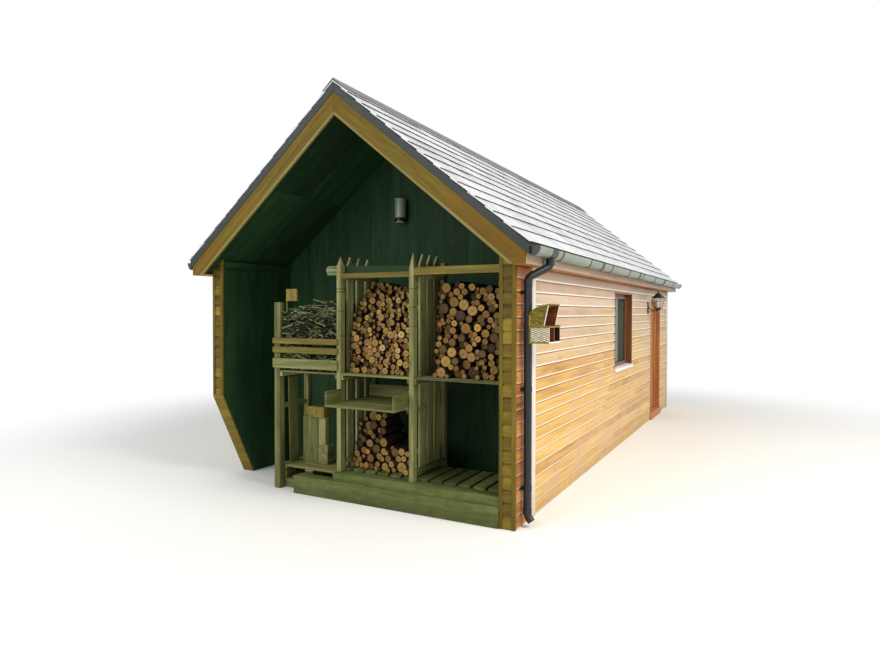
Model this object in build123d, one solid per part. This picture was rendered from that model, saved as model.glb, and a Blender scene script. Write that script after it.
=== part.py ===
"""Log store: an open-fronted store bay under the gable of a clad timber outbuilding.

Units are millimetres. X runs to the right along the open gable, Y back along the
building and Z up. Lengths along Y are first measured from the face of the open end
and shifted at export, so that the origin is the centre of the outline on the ground.
"""
import math
import os
import random

from build123d import *

# Driving dimensions
BOARD_COVER = 112.0
COURSES = 20
WIDTH = 3560.0
LENGTH = 8000.0
WALL_T = 150.0
ROOF_PITCH = 39.5
ROOF_RISE = 313.7
SLATE_T = 22.0
ROOF_T = 215.0
EAVES_OUT = 138.0
GABLE_OUT = 148.0
BARGE_T = 25.0
STORE_DEPTH = 1080.0
PARTITION_T = 100.0
FLOOR_T = 100.0
DOOR_WIDTH = 970.0
DOOR_FROM_REAR = 800.0
WINDOW_WIDTH = 1100.0
WINDOW_HEIGHT = 1060.0
CUT_TOP = 930.0
CUT_FOOT = 470.0
RACK_FRONT = 50.0
RACK_BACK = 720.0
SLEEPER_TOP = 180.0
BEARER_TOP = 265.0
SHELF_TOP = 1235.0
SHELF_T = 18.0
TRAY_TOP = 962.0
TRAY_OUT = 200.0
LOG_MIN = 250.0

# Derived sizes
HALF = WIDTH / 2
COS = math.cos(math.radians(ROOF_PITCH))
TAN = math.tan(math.radians(ROOF_PITCH))
SOFFIT_Z = COURSES * BOARD_COVER + 10
APEX_Z = SOFFIT_Z + ROOF_RISE + HALF * TAN
DOOR_HEAD = SOFFIT_Z - 170
DOOR_Y1 = LENGTH - DOOR_FROM_REAR
DOOR_Y0 = DOOR_Y1 - DOOR_WIDTH
WINDOW_Z1 = DOOR_HEAD + 30
WINDOW_Z0 = WINDOW_Z1 - WINDOW_HEIGHT
WINDOW_Y0 = STORE_DEPTH + 2520
WINDOW_Y1 = WINDOW_Y0 + WINDOW_WIDTH
RACK_TOP = SOFFIT_Z + 140
SOFFIT_T = 15.0
FASCIA_T = 18.0
TRIM_T = 12.0
INNER = HALF - WALL_T
GABLE_BACK = GABLE_OUT - BARGE_T
SLATE_OUT = EAVES_OUT + 52
SLATE_VERGE = GABLE_OUT + 10
BARGE_HIGH_DROP = 90.0
BARGE_LOW_DROP = 254.0
ROOM_Y0 = STORE_DEPTH + PARTITION_T
REAR_Y = LENGTH - WALL_T
Y_SHIFT = -(LENGTH + SLATE_VERGE - TRAY_OUT) / 2
SEAT = 0.3


def prism(points, along):
    """Return the solid of a closed planar outline pushed along a vector."""
    outline = Wire.make_polygon([Vector(*p) for p in points])
    return Solid.extrude(Face(outline), Vector(*along))


def section_y(points, y0, y1):
    """Return an outline in X and Z pushed from y0 to y1."""
    return prism([(x, y0, z) for x, z in points], (0, y1 - y0, 0))


def section_x(points, x0, x1):
    """Return an outline in Y and Z pushed from x0 to x1."""
    return prism([(x0, y, z) for y, z in points], (x1 - x0, 0, 0))


def block(x0, x1, y0, y1, z0, z1):
    """Return a box between two corners."""
    return section_y([(x0, z0), (x1, z0), (x1, z1), (x0, z1)], y0, y1)


def roof_z(x, drop=0.0):
    """Return the height at x of the plane that lies drop under the slates."""
    return APEX_Z - drop / COS - abs(x) * TAN


def mirrored(solid):
    """Return the solid reflected to the other side of the ridge."""
    return solid.mirror(Plane.YZ)


def rod(centre, radius, length, sides=12):
    """Return an upright round bar as a prism of many sides."""
    x, y, z = centre
    outline = []
    for k in range(sides):
        angle = 2 * math.pi * (k + 0.5) / sides
        outline.append((x + radius * math.cos(angle), y + radius * math.sin(angle), z - length / 2))
    return prism(outline, (0, 0, length))


def fused(solids):
    """Return one solid made of several that touch or cross."""
    whole = solids[0]
    for other in solids[1:]:
        whole = whole + other
    return whole


# Walls
def side_wall(y0, y1, z0=0.0):
    """Return a length of the right side wall, cut to the underside of the roof."""
    outline = [
        (INNER, z0),
        (HALF, z0),
        (HALF, roof_z(HALF, ROOF_T)),
        (INNER, roof_z(INNER, ROOF_T)),
    ]
    return section_y(outline, y0, y1)


def right_room_wall():
    """Return the right wall of the room with its window cut through."""
    wall = side_wall(STORE_DEPTH, DOOR_Y0)
    window = block(INNER - 10, HALF + 10, WINDOW_Y0, WINDOW_Y1, WINDOW_Z0, WINDOW_Z1)
    return wall - window


def left_store_wall():
    """Return the left wall of the store with its lower front corner cut away."""
    wall = mirrored(side_wall(TRIM_T, STORE_DEPTH))
    foot = CUT_FOOT
    corner = [(-50, -10), (foot + 5, -10), (foot, 0), (TRIM_T, CUT_TOP), (-50, CUT_TOP)]
    return wall - section_x(corner, -HALF - 10, -INNER + 10)


def gable_outline(half, z0):
    """Return the outline of a gable wall that meets the underside of the roof."""
    return [
        (-half, z0),
        (half, z0),
        (half, roof_z(half, ROOF_T)),
        (0, roof_z(0, ROOF_T)),
        (-half, roof_z(half, ROOF_T)),
    ]


# Roof
def roof_deck():
    """Return the right slope's rafters and boarding as one solid with a level eaves cut."""
    inner_edge = HALF + EAVES_OUT - FASCIA_T
    knee = (roof_z(0, ROOF_T) - SOFFIT_Z) / TAN
    outline = [
        (0, roof_z(0, ROOF_T)),
        (knee, SOFFIT_Z),
        (inner_edge, SOFFIT_Z),
        (inner_edge, roof_z(inner_edge, SLATE_T)),
        (0, roof_z(0, SLATE_T)),
    ]
    return section_y(outline, -GABLE_BACK, LENGTH + GABLE_BACK)


def slate_layer():
    """Return the right slope's slates as one layer that laps past the fascia."""
    edge = HALF + SLATE_OUT
    sine = math.sin(math.radians(ROOF_PITCH))
    low = (edge - SLATE_T * sine, roof_z(edge) - SLATE_T * COS)
    outline = [(0, roof_z(0, SLATE_T)), low, (edge, roof_z(edge)), (0, roof_z(0))]
    return section_y(outline, -SLATE_VERGE, LENGTH + SLATE_VERGE)


def ridge_cap():
    """Return the bent capping that covers the ridge."""
    leg = 125.0
    thick = 12.0
    outline = [
        (0, roof_z(0)),
        (leg, roof_z(leg)),
        (leg, roof_z(leg, -thick)),
        (0, roof_z(0, -thick)),
        (-leg, roof_z(leg, -thick)),
        (-leg, roof_z(leg)),
    ]
    return section_y(outline, -SLATE_VERGE, LENGTH + SLATE_VERGE)


def bargeboard(y0, y1):
    """Return the right half of a pair of bargeboards, mitred and cut level at the foot."""
    end = HALF + EAVES_OUT
    level = SOFFIT_Z - SOFFIT_T
    turn = (roof_z(0, BARGE_LOW_DROP) - level) / TAN
    mitre = SEAT / 2
    outline = [
        (mitre, roof_z(mitre, BARGE_LOW_DROP)),
        (turn, level),
        (end, level),
        (end, roof_z(end, BARGE_HIGH_DROP)),
        (mitre, roof_z(mitre, BARGE_HIGH_DROP)),
    ]
    return section_y(outline, y0, y1)


def verge_strip(y0, y1):
    """Return the right half of the dark strip between slates and bargeboard."""
    end = HALF + EAVES_OUT + 30
    mitre = SEAT / 2
    outline = [
        (mitre, roof_z(mitre, BARGE_HIGH_DROP)),
        (end, roof_z(end, BARGE_HIGH_DROP)),
        (end, roof_z(end, SLATE_T)),
        (mitre, roof_z(mitre, SLATE_T)),
    ]
    return section_y(outline, y0, y1)


def both(make, *args):
    """Return a right-hand piece and its mirror image."""
    piece = make(*args)
    return [piece, mirrored(piece)]


def together(*groups):
    """Return one compound of every solid in the given lists."""
    return Compound([solid for group in groups for solid in group])


# Eaves
def fascia():
    """Return the right fascia board."""
    x0 = HALF + EAVES_OUT - FASCIA_T
    x1 = HALF + EAVES_OUT
    z0 = SOFFIT_Z - SOFFIT_T
    outline = [(x0, z0), (x1, z0), (x1, roof_z(x1, SLATE_T)), (x0, roof_z(x0, SLATE_T))]
    return section_y(outline, -GABLE_BACK, LENGTH + GABLE_BACK)


def soffit():
    """Return the right soffit board."""
    x1 = HALF + EAVES_OUT - FASCIA_T
    z0 = SOFFIT_Z - SOFFIT_T
    return block(HALF, x1, -GABLE_BACK, LENGTH + GABLE_BACK, z0, SOFFIT_Z)


GUTTER_W = 112.0
GUTTER_D = 75.0
GUTTER_TOP = 2374.0
GUTTER_WALL = 3.0
GUTTER_Y0 = -GABLE_BACK + 6
GUTTER_Y1 = LENGTH + GABLE_BACK - 6
OUTLET_Y = 310.0


def gutter_arc(inset, count=8):
    """Return points along the deep half-round of the gutter, back edge first."""
    cx = HALF + EAVES_OUT + GUTTER_W / 2
    rx = GUTTER_W / 2 - inset
    rz = GUTTER_D - inset
    points = []
    for i in range(count + 1):
        angle = math.pi + math.pi * i / count
        points.append((cx + rx * math.cos(angle), GUTTER_TOP + rz * math.sin(angle)))
    return points


def gutter():
    """Return the right gutter with stop ends and fascia brackets as one solid."""
    shell = gutter_arc(0) + gutter_arc(GUTTER_WALL)[::-1]
    solids = [section_y(shell, GUTTER_Y0, GUTTER_Y1)]
    solids.append(section_y(gutter_arc(0.0), GUTTER_Y0, GUTTER_Y0 + 4))
    solids.append(section_y(gutter_arc(0.0), GUTTER_Y1 - 4, GUTTER_Y1))
    outer = [(x, min(z, GUTTER_TOP - 2)) for x, z in gutter_arc(-4.0)]
    outer = [(max(x, HALF + EAVES_OUT), z) for x, z in outer]
    strap = outer + gutter_arc(1.0)[::-1]
    first = 520.0
    step = (GUTTER_Y1 - 77 - first) / 8
    for i in range(9):
        spot = first + i * step
        solids.append(section_y(strap, spot, spot + 25))
    return fused(solids)


PIPE_R = 34.0
PIPE_X = HALF + 50
PIPE_Y = 160.0
CLIP_R = PIPE_R + 4
NEST_SEAT = 1722.0


def downpipe():
    """Return the rainwater pipe with its swan neck, shoe and wall clips."""
    outlet_x = HALF + EAVES_OUT + GUTTER_W / 2
    top = GUTTER_TOP - GUTTER_D - 0.5
    route = [
        (outlet_x, OUTLET_Y, top),
        (outlet_x, OUTLET_Y, top - 56),
        (outlet_x - 12, OUTLET_Y - 14, top - 77),
        (PIPE_X + 12, PIPE_Y + 14, top - 153),
        (PIPE_X, PIPE_Y, top - 174),
        (PIPE_X, PIPE_Y, 104),
        (PIPE_X + 8, PIPE_Y, 90),
        (PIPE_X + 40, PIPE_Y - 6, 50),
    ]
    path = Polyline(*route)
    start = Plane(origin=route[0], z_dir=(0, 0, -1))
    ring = start * RegularPolygon(PIPE_R, 12)
    pipe = sweep(ring, path=path, transition=Transition.RIGHT)
    for z in (330.0, 1180.0, NEST_SEAT - 72, NEST_SEAT + 50, 2010.0):
        clip_ring = rod((PIPE_X, PIPE_Y, z), CLIP_R, 28)
        lug = block(HALF, PIPE_X - PIPE_R + 1, PIPE_Y - 20, PIPE_Y + 20, z - 14, z + 14)
        pipe = pipe + clip_ring + lug
    return pipe


# Trims on the walls
def right_end_trims():
    """Return the two upright strips on the end of the right wall."""
    top_out = roof_z(HALF, ROOF_T)
    outer = section_y(
        [(HALF - 35, 0), (HALF, 0), (HALF, top_out), (HALF - 35, roof_z(HALF - 35, ROOF_T))],
        0,
        TRIM_T,
    )
    x1 = INNER + 33
    inner = section_y(
        [(INNER, 0), (x1, 0), (x1, roof_z(x1, ROOF_T)), (INNER, roof_z(INNER, ROOF_T))],
        0,
        TRIM_T,
    )
    return [outer, inner]


def left_end_trims():
    """Return the strips on the end of the left wall and the board that closes its cut."""
    solids = []
    for x0, x1 in ((INNER, INNER + 33), (HALF - 35, HALF)):
        outline = [
            (x0, CUT_TOP + SEAT),
            (x1, CUT_TOP + SEAT),
            (x1, roof_z(x1, ROOF_T)),
            (x0, roof_z(x0, ROOF_T)),
        ]
        solids.append(mirrored(section_y(outline, 0, TRIM_T)))
    rise = CUT_TOP
    run = CUT_FOOT - TRIM_T
    length = math.hypot(rise, run)
    normal = (-rise / length * 20, -run / length * 20)
    top = (TRIM_T, CUT_TOP)
    foot = (CUT_FOOT, 0)
    low = (foot[0] - 20 * length / rise, 0)
    board = [top, foot, low, (top[0] + normal[0], top[1] + normal[1])]
    solids.append(section_x(board, -HALF, -INNER))
    return solids


def wall_trims():
    """Return the cover strip on the right wall and the boards at the rear corners."""
    low = SOFFIT_Z - SOFFIT_T
    strips = [block(HALF, HALF + TRIM_T, 375, 465, 0, low)]
    for side in (1, -1):
        xs = sorted((side * HALF, side * (HALF + TRIM_T)))
        flank = block(xs[0], xs[1], LENGTH - 90, LENGTH + TRIM_T, 0, low)
        xs = sorted((side * (HALF - 90), side * HALF))
        strips.append(flank + block(xs[0], xs[1], LENGTH, LENGTH + TRIM_T, 0, low))
    return strips


# Window and door
SASH_BAR = 55.0
SILL_OUT = 25.0


def window_frame():
    """Return the window's frame around its one pane."""
    x0 = HALF - 140
    x1 = HALF - 85
    outer = block(x0, x1, WINDOW_Y0, WINDOW_Y1, WINDOW_Z0, WINDOW_Z1)
    y0 = WINDOW_Y0 + SASH_BAR
    y1 = WINDOW_Y1 - SASH_BAR
    return outer - block(x0 - 5, x1 + 5, y0, y1, WINDOW_Z0 + SASH_BAR, WINDOW_Z1 - SASH_BAR)


def window_sill():
    """Return the weathered sill below the window."""
    outline = [
        (HALF - 84, WINDOW_Z0 + SEAT),
        (HALF - 84, WINDOW_Z0 + 34),
        (HALF + SILL_OUT, WINDOW_Z0 + 25),
        (HALF + SILL_OUT, WINDOW_Z0 - 14),
        (HALF + SEAT, WINDOW_Z0 - 14),
        (HALF + SEAT, WINDOW_Z0 + SEAT),
    ]
    return section_y(outline, WINDOW_Y0 + 1, WINDOW_Y1 - 1)


def window_glass():
    """Return the pane, seated in the frame's opening."""
    bar = SASH_BAR + SEAT
    x0 = HALF - 122
    return block(x0, x0 + 20, WINDOW_Y0 + bar, WINDOW_Y1 - bar, WINDOW_Z0 + bar, WINDOW_Z1 - bar)


JAMB = 35.0
LEAF_T = 44.0
LEAF_GAP = 5.0
LEAF_X1 = INNER + LEAF_T
HINGE_X = INNER - 8.0
HINGE_Y = DOOR_Y1 - JAMB - 1.0
HINGE_LOW = FLOOR_T + 230
HINGE_HIGH = DOOR_HEAD - 250
HINGE_HEIGHTS = (HINGE_LOW, (HINGE_LOW + HINGE_HIGH) / 2, HINGE_HIGH)


def door_frame():
    """Return the door's jambs, head and stops, and the threshold they stand on."""
    stop_x0 = LEAF_X1 + LEAF_GAP
    stop = 18.0
    z0 = FLOOR_T
    solids = [
        block(INNER, HALF, DOOR_Y0, DOOR_Y0 + JAMB, z0, DOOR_HEAD),
        block(INNER, HALF, DOOR_Y1 - JAMB, DOOR_Y1, z0, DOOR_HEAD),
        block(INNER, HALF, DOOR_Y0, DOOR_Y1, DOOR_HEAD - JAMB, DOOR_HEAD),
        block(stop_x0, stop_x0 + 30, DOOR_Y0, DOOR_Y0 + JAMB + stop, z0, DOOR_HEAD),
        block(stop_x0, stop_x0 + 30, DOOR_Y1 - JAMB - stop, DOOR_Y1, z0, DOOR_HEAD),
        block(stop_x0, stop_x0 + 30, DOOR_Y0, DOOR_Y1, DOOR_HEAD - JAMB - stop, DOOR_HEAD),
        block(INNER, HALF + 25, DOOR_Y0, DOOR_Y1, 0, z0),
    ]
    for z in HINGE_HEIGHTS:
        wing = (HINGE_Y + 8, HINGE_Y + 34)
        solids.append(block(INNER - 3, INNER, *wing, z - 45, z + 45))
        for side in (1, -1):
            solids.append(rod((HINGE_X, HINGE_Y, z + side * (30 + SEAT)), 7, 30))
            low = z + side * (15 + SEAT)
            high = z + side * 45
            tab = block(HINGE_X, INNER, HINGE_Y, HINGE_Y + 9, min(low, high), max(low, high))
            solids.append(tab)
    return fused(solids)


def door_leaf():
    """Return the boarded door leaf with its ledges pressed out of one solid."""
    y0 = DOOR_Y0 + JAMB + LEAF_GAP
    y1 = DOOR_Y1 - JAMB - LEAF_GAP
    z0 = FLOOR_T + LEAF_GAP
    z1 = DOOR_HEAD - JAMB - LEAF_GAP
    leaf = block(INNER, LEAF_X1, y0, y1, z0, z1)
    glazed = block(INNER - 5, LEAF_X1 + 5, y0 + 230, y1 - 230, z1 - 700, z1 - 230)
    leaf = leaf - glazed
    return leaf


def door_glass():
    """Return the pane in the door leaf."""
    y0 = DOOR_Y0 + JAMB + LEAF_GAP + 230 + SEAT
    y1 = DOOR_Y1 - JAMB - LEAF_GAP - 230 - SEAT
    z1 = DOOR_HEAD - JAMB - LEAF_GAP
    x0 = INNER + 12
    return block(x0, x0 + 20, y0, y1, z1 - 700 + SEAT, z1 - 230 - SEAT)


def door_furniture():
    """Return the lever handle, its plates and the hinge knuckles on the leaf."""
    y = DOOR_Y0 + JAMB + LEAF_GAP + 60
    z = DOOR_HEAD - 1000
    plate_out = block(LEAF_X1, LEAF_X1 + 8, y - 20, y + 20, z - 90, z + 90)
    plate_in = block(INNER - 8, INNER, y - 20, y + 20, z - 90, z + 90)
    solids = []
    for side, face in ((1, LEAF_X1 + 8), (-1, INNER - 8)):
        plate = plate_out if side > 0 else plate_in
        xs = sorted((face - side * 2, face + side * 30))
        stem = block(*xs, y - 7, y + 7, z + 33, z + 47)
        xs = sorted((face + side * 22, face + side * 36))
        lever = block(*xs, y - 9, y + 113, z + 31, z + 49)
        solids.append(fused([plate, stem, lever]))
    for z in HINGE_HEIGHTS:
        knuckle = rod((HINGE_X, HINGE_Y, z), 7, 30)
        tab = block(HINGE_X, INNER, HINGE_Y - 9, HINGE_Y - 4, z - 15, z + 15)
        neck = block(HINGE_X - 3, HINGE_X + 3, HINGE_Y - 9, HINGE_Y, z - 15, z + 15)
        wing = block(INNER - 3, INNER, HINGE_Y - 75, HINGE_Y - 8, z - 45, z + 45)
        solids.append(fused([knuckle, neck, tab, wing]))
    return solids


# Fittings
def hexagon_taper(centre, wide_z, wide_r, narrow_z, narrow_r):
    """Return an upright six-sided solid that narrows from one height to another."""
    rise = narrow_z - wide_z
    way = 1 if rise > 0 else -1
    start = Plane(origin=(*centre, wide_z), x_dir=(1, 0, 0), z_dir=(0, 0, way))
    inwards = (wide_r - narrow_r) * math.cos(math.pi / 6)
    taper = math.degrees(math.atan(inwards / abs(rise)))
    return extrude(start * RegularPolygon(wide_r, 6), abs(rise), taper=taper)


def lantern():
    """Return the coach lantern on its scrolled wall bracket."""
    y = DOOR_Y0 - 245
    cx = HALF + 165
    plate = Pos(HALF + 6, y, 1910) * Box(12, 80, 190)
    arm = Pos(HALF + 85, y, 1868) * Box(165, 18, 18)
    base = hexagon_taper((cx, y), 1909, 58, 1877, 38)
    body = hexagon_taper((cx, y), 2080, 98, 1909, 60)
    roof = hexagon_taper((cx, y), 2080, 108, 2155, 30)
    finial = rod((cx, y, 2168), 9, 34, 8)
    return fused([plate, arm, base, body, roof, finial])


def store_light():
    """Return the upright cylinder light on the store's back wall."""
    x = 28.0
    r = 62.0
    cy = STORE_DEPTH - r - 14
    body = rod((x, cy, 2970), r, 196, 24)
    cap = rod((x, cy, 2846), r + 4, 52, 24)
    lid = rod((x, cy, 3077), r + 4, 18, 24)
    back = block(x - 45, x + 45, cy, STORE_DEPTH, 2850, 3080)
    return fused([body, cap, lid, back])


def nest_box():
    """Return the nest box hung on the pipe: a leaning hood over an open lower box."""
    x = PIPE_X + CLIP_R * math.cos(math.pi / 12) + SEAT
    y0 = 76.0
    y1 = 374.0
    seat = NEST_SEAT
    wall = 13.0
    hood = [(0, 0), (0, 89), (15, 116), (37, 134), (65, 152), (98, 167)]
    hood += [(132, 178), (172, 184), (133, 0)]
    hollow = [(wall, wall), (wall, 85), (27, 107), (46, 123), (71, 138), (102, 154)]
    hollow += [(134, 164), (195, 172), (152, wall)]
    outer = prism([(x + dx, y0, seat + dz) for dx, dz in hood], (0, y1 - y0, 0))
    length = y1 - y0 - 2 * wall
    inner = prism([(x + dx, y0 + wall, seat + dz) for dx, dz in hollow], (0, length, 0))
    lower = block(x, x + 177, y0 - 4, y1 + 4, seat - 144, seat)
    mid = (y0 + y1) / 2
    for near, far in ((y0 + 10, mid - 8), (mid + 8, y1 - 10)):
        lower = lower - block(x + 15, x + 181, near, far, seat - 131, seat - wall)
    return [outer - inner, lower]


def pointed_pale(x0, x1, yc, z0, z1, width, point=95.0):
    """Return an upright pale with a pointed top, broad along Y."""
    w = width / 2
    outline = [(yc - w, z0), (yc + w, z0), (yc + w, z1 - point), (yc, z1), (yc - w, z1 - point)]
    return section_x(outline, x0, x1)


# Racking
def divider(x0, front_top, point, pale_spots, pale_width):
    """Return one divider: posts, rails, pointed pales and the cleats that carry shelves."""
    x1 = x0 + 50
    xc = (x0 + x1) / 2
    y0 = RACK_FRONT
    solids = [pointed_pale(x0, x1, y0 + 35, BEARER_TOP, front_top, 70, point)]
    solids.append(block(x0, x1, RACK_BACK - 60, RACK_BACK, 0, RACK_TOP - 60))
    for z in (330.0, 1160.0, RACK_TOP - 230):
        solids.append(block(xc, x1, y0 + 60, RACK_BACK - 50, z, z + 45))
    for yc in pale_spots:
        solids.append(pointed_pale(x0 + 3, xc, yc, 300, RACK_TOP, pale_width))
    low = SHELF_TOP - SHELF_T - 45
    solids.append(block(x0 - 25, x0 + 4, y0 + 5, RACK_BACK - 20, low, low + 45))
    solids.append(block(x1 - 4, x1 + 25, y0 + 5, RACK_BACK - 20, low, low + 45))
    return fused(solids)


MID_X = 710.0
LEFT_X = -120.0
BAY_POST_X = -930.0
WALL_X = INNER
PALLET_TOP = 235.0
PLANK_X1 = 690.0
PLANK_Y1 = 395.0


def shelf(x0, x1, back=RACK_BACK - 30):
    """Return a shelf of boards with a front rail, resting on the cleats."""
    top = SHELF_TOP
    low = top - SHELF_T
    solids = [block(x0, x1, RACK_FRONT + 4, RACK_FRONT + 30, low, top)]
    count = 6
    first = RACK_FRONT + 42
    step = (back - first) / count
    for i in range(count):
        y = first + i * step
        solids.append(block(x0, x1, y, y + step - 12, low, top))
    return solids


def top_shelf():
    """Return the top shelf of the right bay with its front rail."""
    x0 = MID_X + 50 + SEAT
    x1 = WALL_X - SEAT
    rail = block(x0, x1, RACK_FRONT, RACK_FRONT + 28, RACK_TOP - 210, RACK_TOP - 140)
    deck = block(x0, x1, RACK_FRONT + 28, 560, RACK_TOP - 185, RACK_TOP - 165)
    return rail + deck


def top_rail():
    """Return the rail across the top of the centre bay."""
    x0 = LEFT_X + 50 + SEAT
    x1 = MID_X - SEAT
    return block(x0, x1, RACK_FRONT, RACK_FRONT + 28, RACK_TOP - 225, RACK_TOP - 175)


def loose_plank():
    """Return the plank that lies on edge across the top of the centre bay."""
    z0 = RACK_TOP - 185 + SEAT
    outline = [(-240, 92), (PLANK_X1, PLANK_Y1), (PLANK_X1, PLANK_Y1 + 24), (-240, 116)]
    return prism([(x, y, z0) for x, y in outline], (0, 0, 90))


def wall_cleats():
    """Return the cleats on the right wall that carry the right bay's shelves."""
    x0 = WALL_X - 25
    low = SHELF_TOP - SHELF_T - 45
    under = block(x0, WALL_X, RACK_FRONT + 5, RACK_BACK - 20, low, low + 45)
    over = block(x0, WALL_X, RACK_FRONT + 30, 560, RACK_TOP - 230, RACK_TOP - 185)
    return [under, over]


LEFT_BACK = RACK_BACK - 135
LEFT_REAR_POST = 70.0


def left_frame():
    """Return the left bay's posts, side rails, leaning pale and shelf cleats."""
    x0 = BAY_POST_X
    x1 = x0 + 75
    y1 = LEFT_BACK
    front = RACK_FRONT + 70
    under = SHELF_TOP - SHELF_T
    pale = [(235, PALLET_TOP + SEAT), (371, PALLET_TOP + SEAT), (341, 1150), (208, 1150)]
    solids = [
        block(x0, x1, RACK_FRONT, RACK_FRONT + 75, 0, 1940),
        block(x0, x0 + 60, y1 - LEFT_REAR_POST, y1, 0, under),
        block(x0 + 10, x0 + 40, front, y1 - 60, 1160, 1205),
        block(x0 + 10, x0 + 40, front, y1 - 60, 830, 875),
        section_x(pale, x0 + 38, x0 + 60),
        block(x1 - 4, x1 + 25, RACK_FRONT + 5, y1, under - 45, under),
        block(x0 + 56, x1, y1 - LEFT_REAR_POST, y1, under - 45, under),
    ]
    return fused(solids)


def left_slats():
    """Return the three slats across the front of the left bay."""
    solids = []
    for z0, z1 in ((1500, 1570), (1410, 1480), (1262, 1360)):
        solids.append(block(BAY_POST_X - 5, LEFT_X + 20, RACK_FRONT - 22, RACK_FRONT, z0, z1))
    return solids


def tray():
    """Return the shallow tray that runs out in front of the centre bay."""
    x0 = LEFT_X + 52
    x1 = MID_X - 2
    floor = block(x0, x1, -TRAY_OUT, 560, TRAY_TOP - 22, TRAY_TOP)
    near = block(x0, x0 + 20, -TRAY_OUT, 40, TRAY_TOP, TRAY_TOP + 125)
    far = block(x1 - 20, x1, -TRAY_OUT, 40, TRAY_TOP, TRAY_TOP + 125)
    back = block(x0, x1, 540, 560, TRAY_TOP, TRAY_TOP + 125)
    return fused([floor, near, far, back])


def tray_runners():
    """Return the runners that the tray rests on."""
    z1 = TRAY_TOP - 22
    left = block(LEFT_X + 50, LEFT_X + 80, RACK_FRONT + 5, RACK_BACK - 20, z1 - 45, z1)
    right = block(MID_X - 30, MID_X, RACK_FRONT + 5, RACK_BACK - 20, z1 - 45, z1)
    return [left, right]


def base_timbers():
    """Return the lower sleeper and the bearer that lies on it."""
    lower = block(-620, WALL_X - SEAT, -15, 115, 0, SLEEPER_TOP)
    upper = block(LEFT_X - 10, WALL_X - SEAT, 5, 122, SLEEPER_TOP, BEARER_TOP)
    return [lower, upper]


DECK_TOP = 290.0


def rack_floor():
    """Return the slatted floor under the centre and right bays, on three joists."""
    x0 = LEFT_X
    x1 = WALL_X - 5
    y0 = 122.0 + SEAT
    y1 = RACK_BACK - 60 - SEAT
    solids = []
    for y in (y0, (y0 + y1) / 2 - 22, y1 - 45):
        solids.append(block(x0, x1, y, y + 45, 0, DECK_TOP - 25))
    count = 12
    step = (x1 - x0) / count
    for i in range(count):
        x = x0 + i * step
        solids.append(block(x, x + step - 32, y0, y1, DECK_TOP - 25, DECK_TOP))
    return fused(solids)


def left_pallet():
    """Return the block pallet under the left bay, on two packers."""
    x0 = BAY_POST_X - 5
    x1 = LEFT_X - 12
    y0 = RACK_FRONT + 75 + SEAT
    y1 = LEFT_BACK - LEFT_REAR_POST - SEAT
    solids = []
    for y in (y0, y1 - 90):
        solids.append(block(x0 + 40, x1 - 40, y, y + 90, 0, 90))
    for x in (x0, (x0 + x1) / 2 - 50, x1 - 100):
        solids.append(block(x, x + 100, y0, y1, 90, 106))
        solids.append(block(x, x + 100, y0, y1, PALLET_TOP - 38, PALLET_TOP - 20))
        for y in (y0, (y0 + y1) / 2 - 50, y1 - 100):
            solids.append(block(x, x + 100, y, y + 100, 106, PALLET_TOP - 38))
    count = 5
    step = (y1 - y0 + 18) / count
    for i in range(count):
        y = y0 + i * step
        solids.append(block(x0, x1, y, y + step - 18, PALLET_TOP - 20, PALLET_TOP))
    return fused(solids)


def stored_timber():
    """Return the sawn pieces kept in the left bay, below and above its shelf."""
    z = PALLET_TOP + SEAT
    heap = KINDLING_FLAT + SEAT
    wide = block(-765, -570, 310, 370, z, 732)
    stub = block(-566, -440, 310, 410, z, 445)
    post = block(-560, -468, 310, 370, 445 + SEAT, 732)
    beam = block(-676, -460, 275, 400, 732 + SEAT, 840)
    offcut = block(-810, -660, 50, 150, 1900, 2077)
    batten = block(-810, -790, 90, 110, heap, 1900)
    return [wide, stub, post, beam, offcut + batten]


KINDLING_FLAT = 1832.0


def kindling():
    """Return the heap of kindling on the left shelf."""
    z0 = SHELF_TOP + SEAT
    x0 = BAY_POST_X + 80
    x1 = LEFT_X - 5
    outline = [
        (x0, z0),
        (x1, z0),
        (x1, 1960),
        (-412, 1925),
        (-570, 1885),
        (-786, KINDLING_FLAT),
        (-814, KINDLING_FLAT),
        (x0, KINDLING_FLAT - 8),
    ]
    return section_y(outline, RACK_FRONT + 8, 560)


# Stacked logs
SIDES = 6


def pair_spots(placed, radius):
    """Return the places where a log would touch two logs already placed."""
    spots = []
    for i, (ax, az, ar) in enumerate(placed):
        for bx, bz, br in placed[i + 1 :]:
            ra = ar + radius
            rb = br + radius
            gap = math.hypot(bx - ax, bz - az)
            if gap > ra + rb or gap < 1e-6:
                continue
            along = (ra * ra - rb * rb + gap * gap) / (2 * gap)
            off2 = ra * ra - along * along
            if off2 < 0:
                continue
            off = math.sqrt(off2)
            ux = (bx - ax) / gap
            uz = (bz - az) / gap
            for sign in (1, -1):
                x = ax + along * ux - sign * off * uz
                z = az + along * uz + sign * off * ux
                spots.append((x, z))
    return spots


def edge_spots(placed, radius, width):
    """Return the places where a log would touch the shelf or a side, and one log."""
    spots = [(radius, radius), (width - radius, radius)]
    for cx, cz, cr in placed:
        reach = cr + radius
        drop = radius - cz
        if abs(drop) < reach:
            run = math.sqrt(reach * reach - drop * drop)
            spots.append((cx + run, radius))
            spots.append((cx - run, radius))
        for x in (radius, width - radius):
            off = x - cx
            if abs(off) < reach:
                spots.append((x, cz + math.sqrt(reach * reach - off * off)))
    return spots


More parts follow.
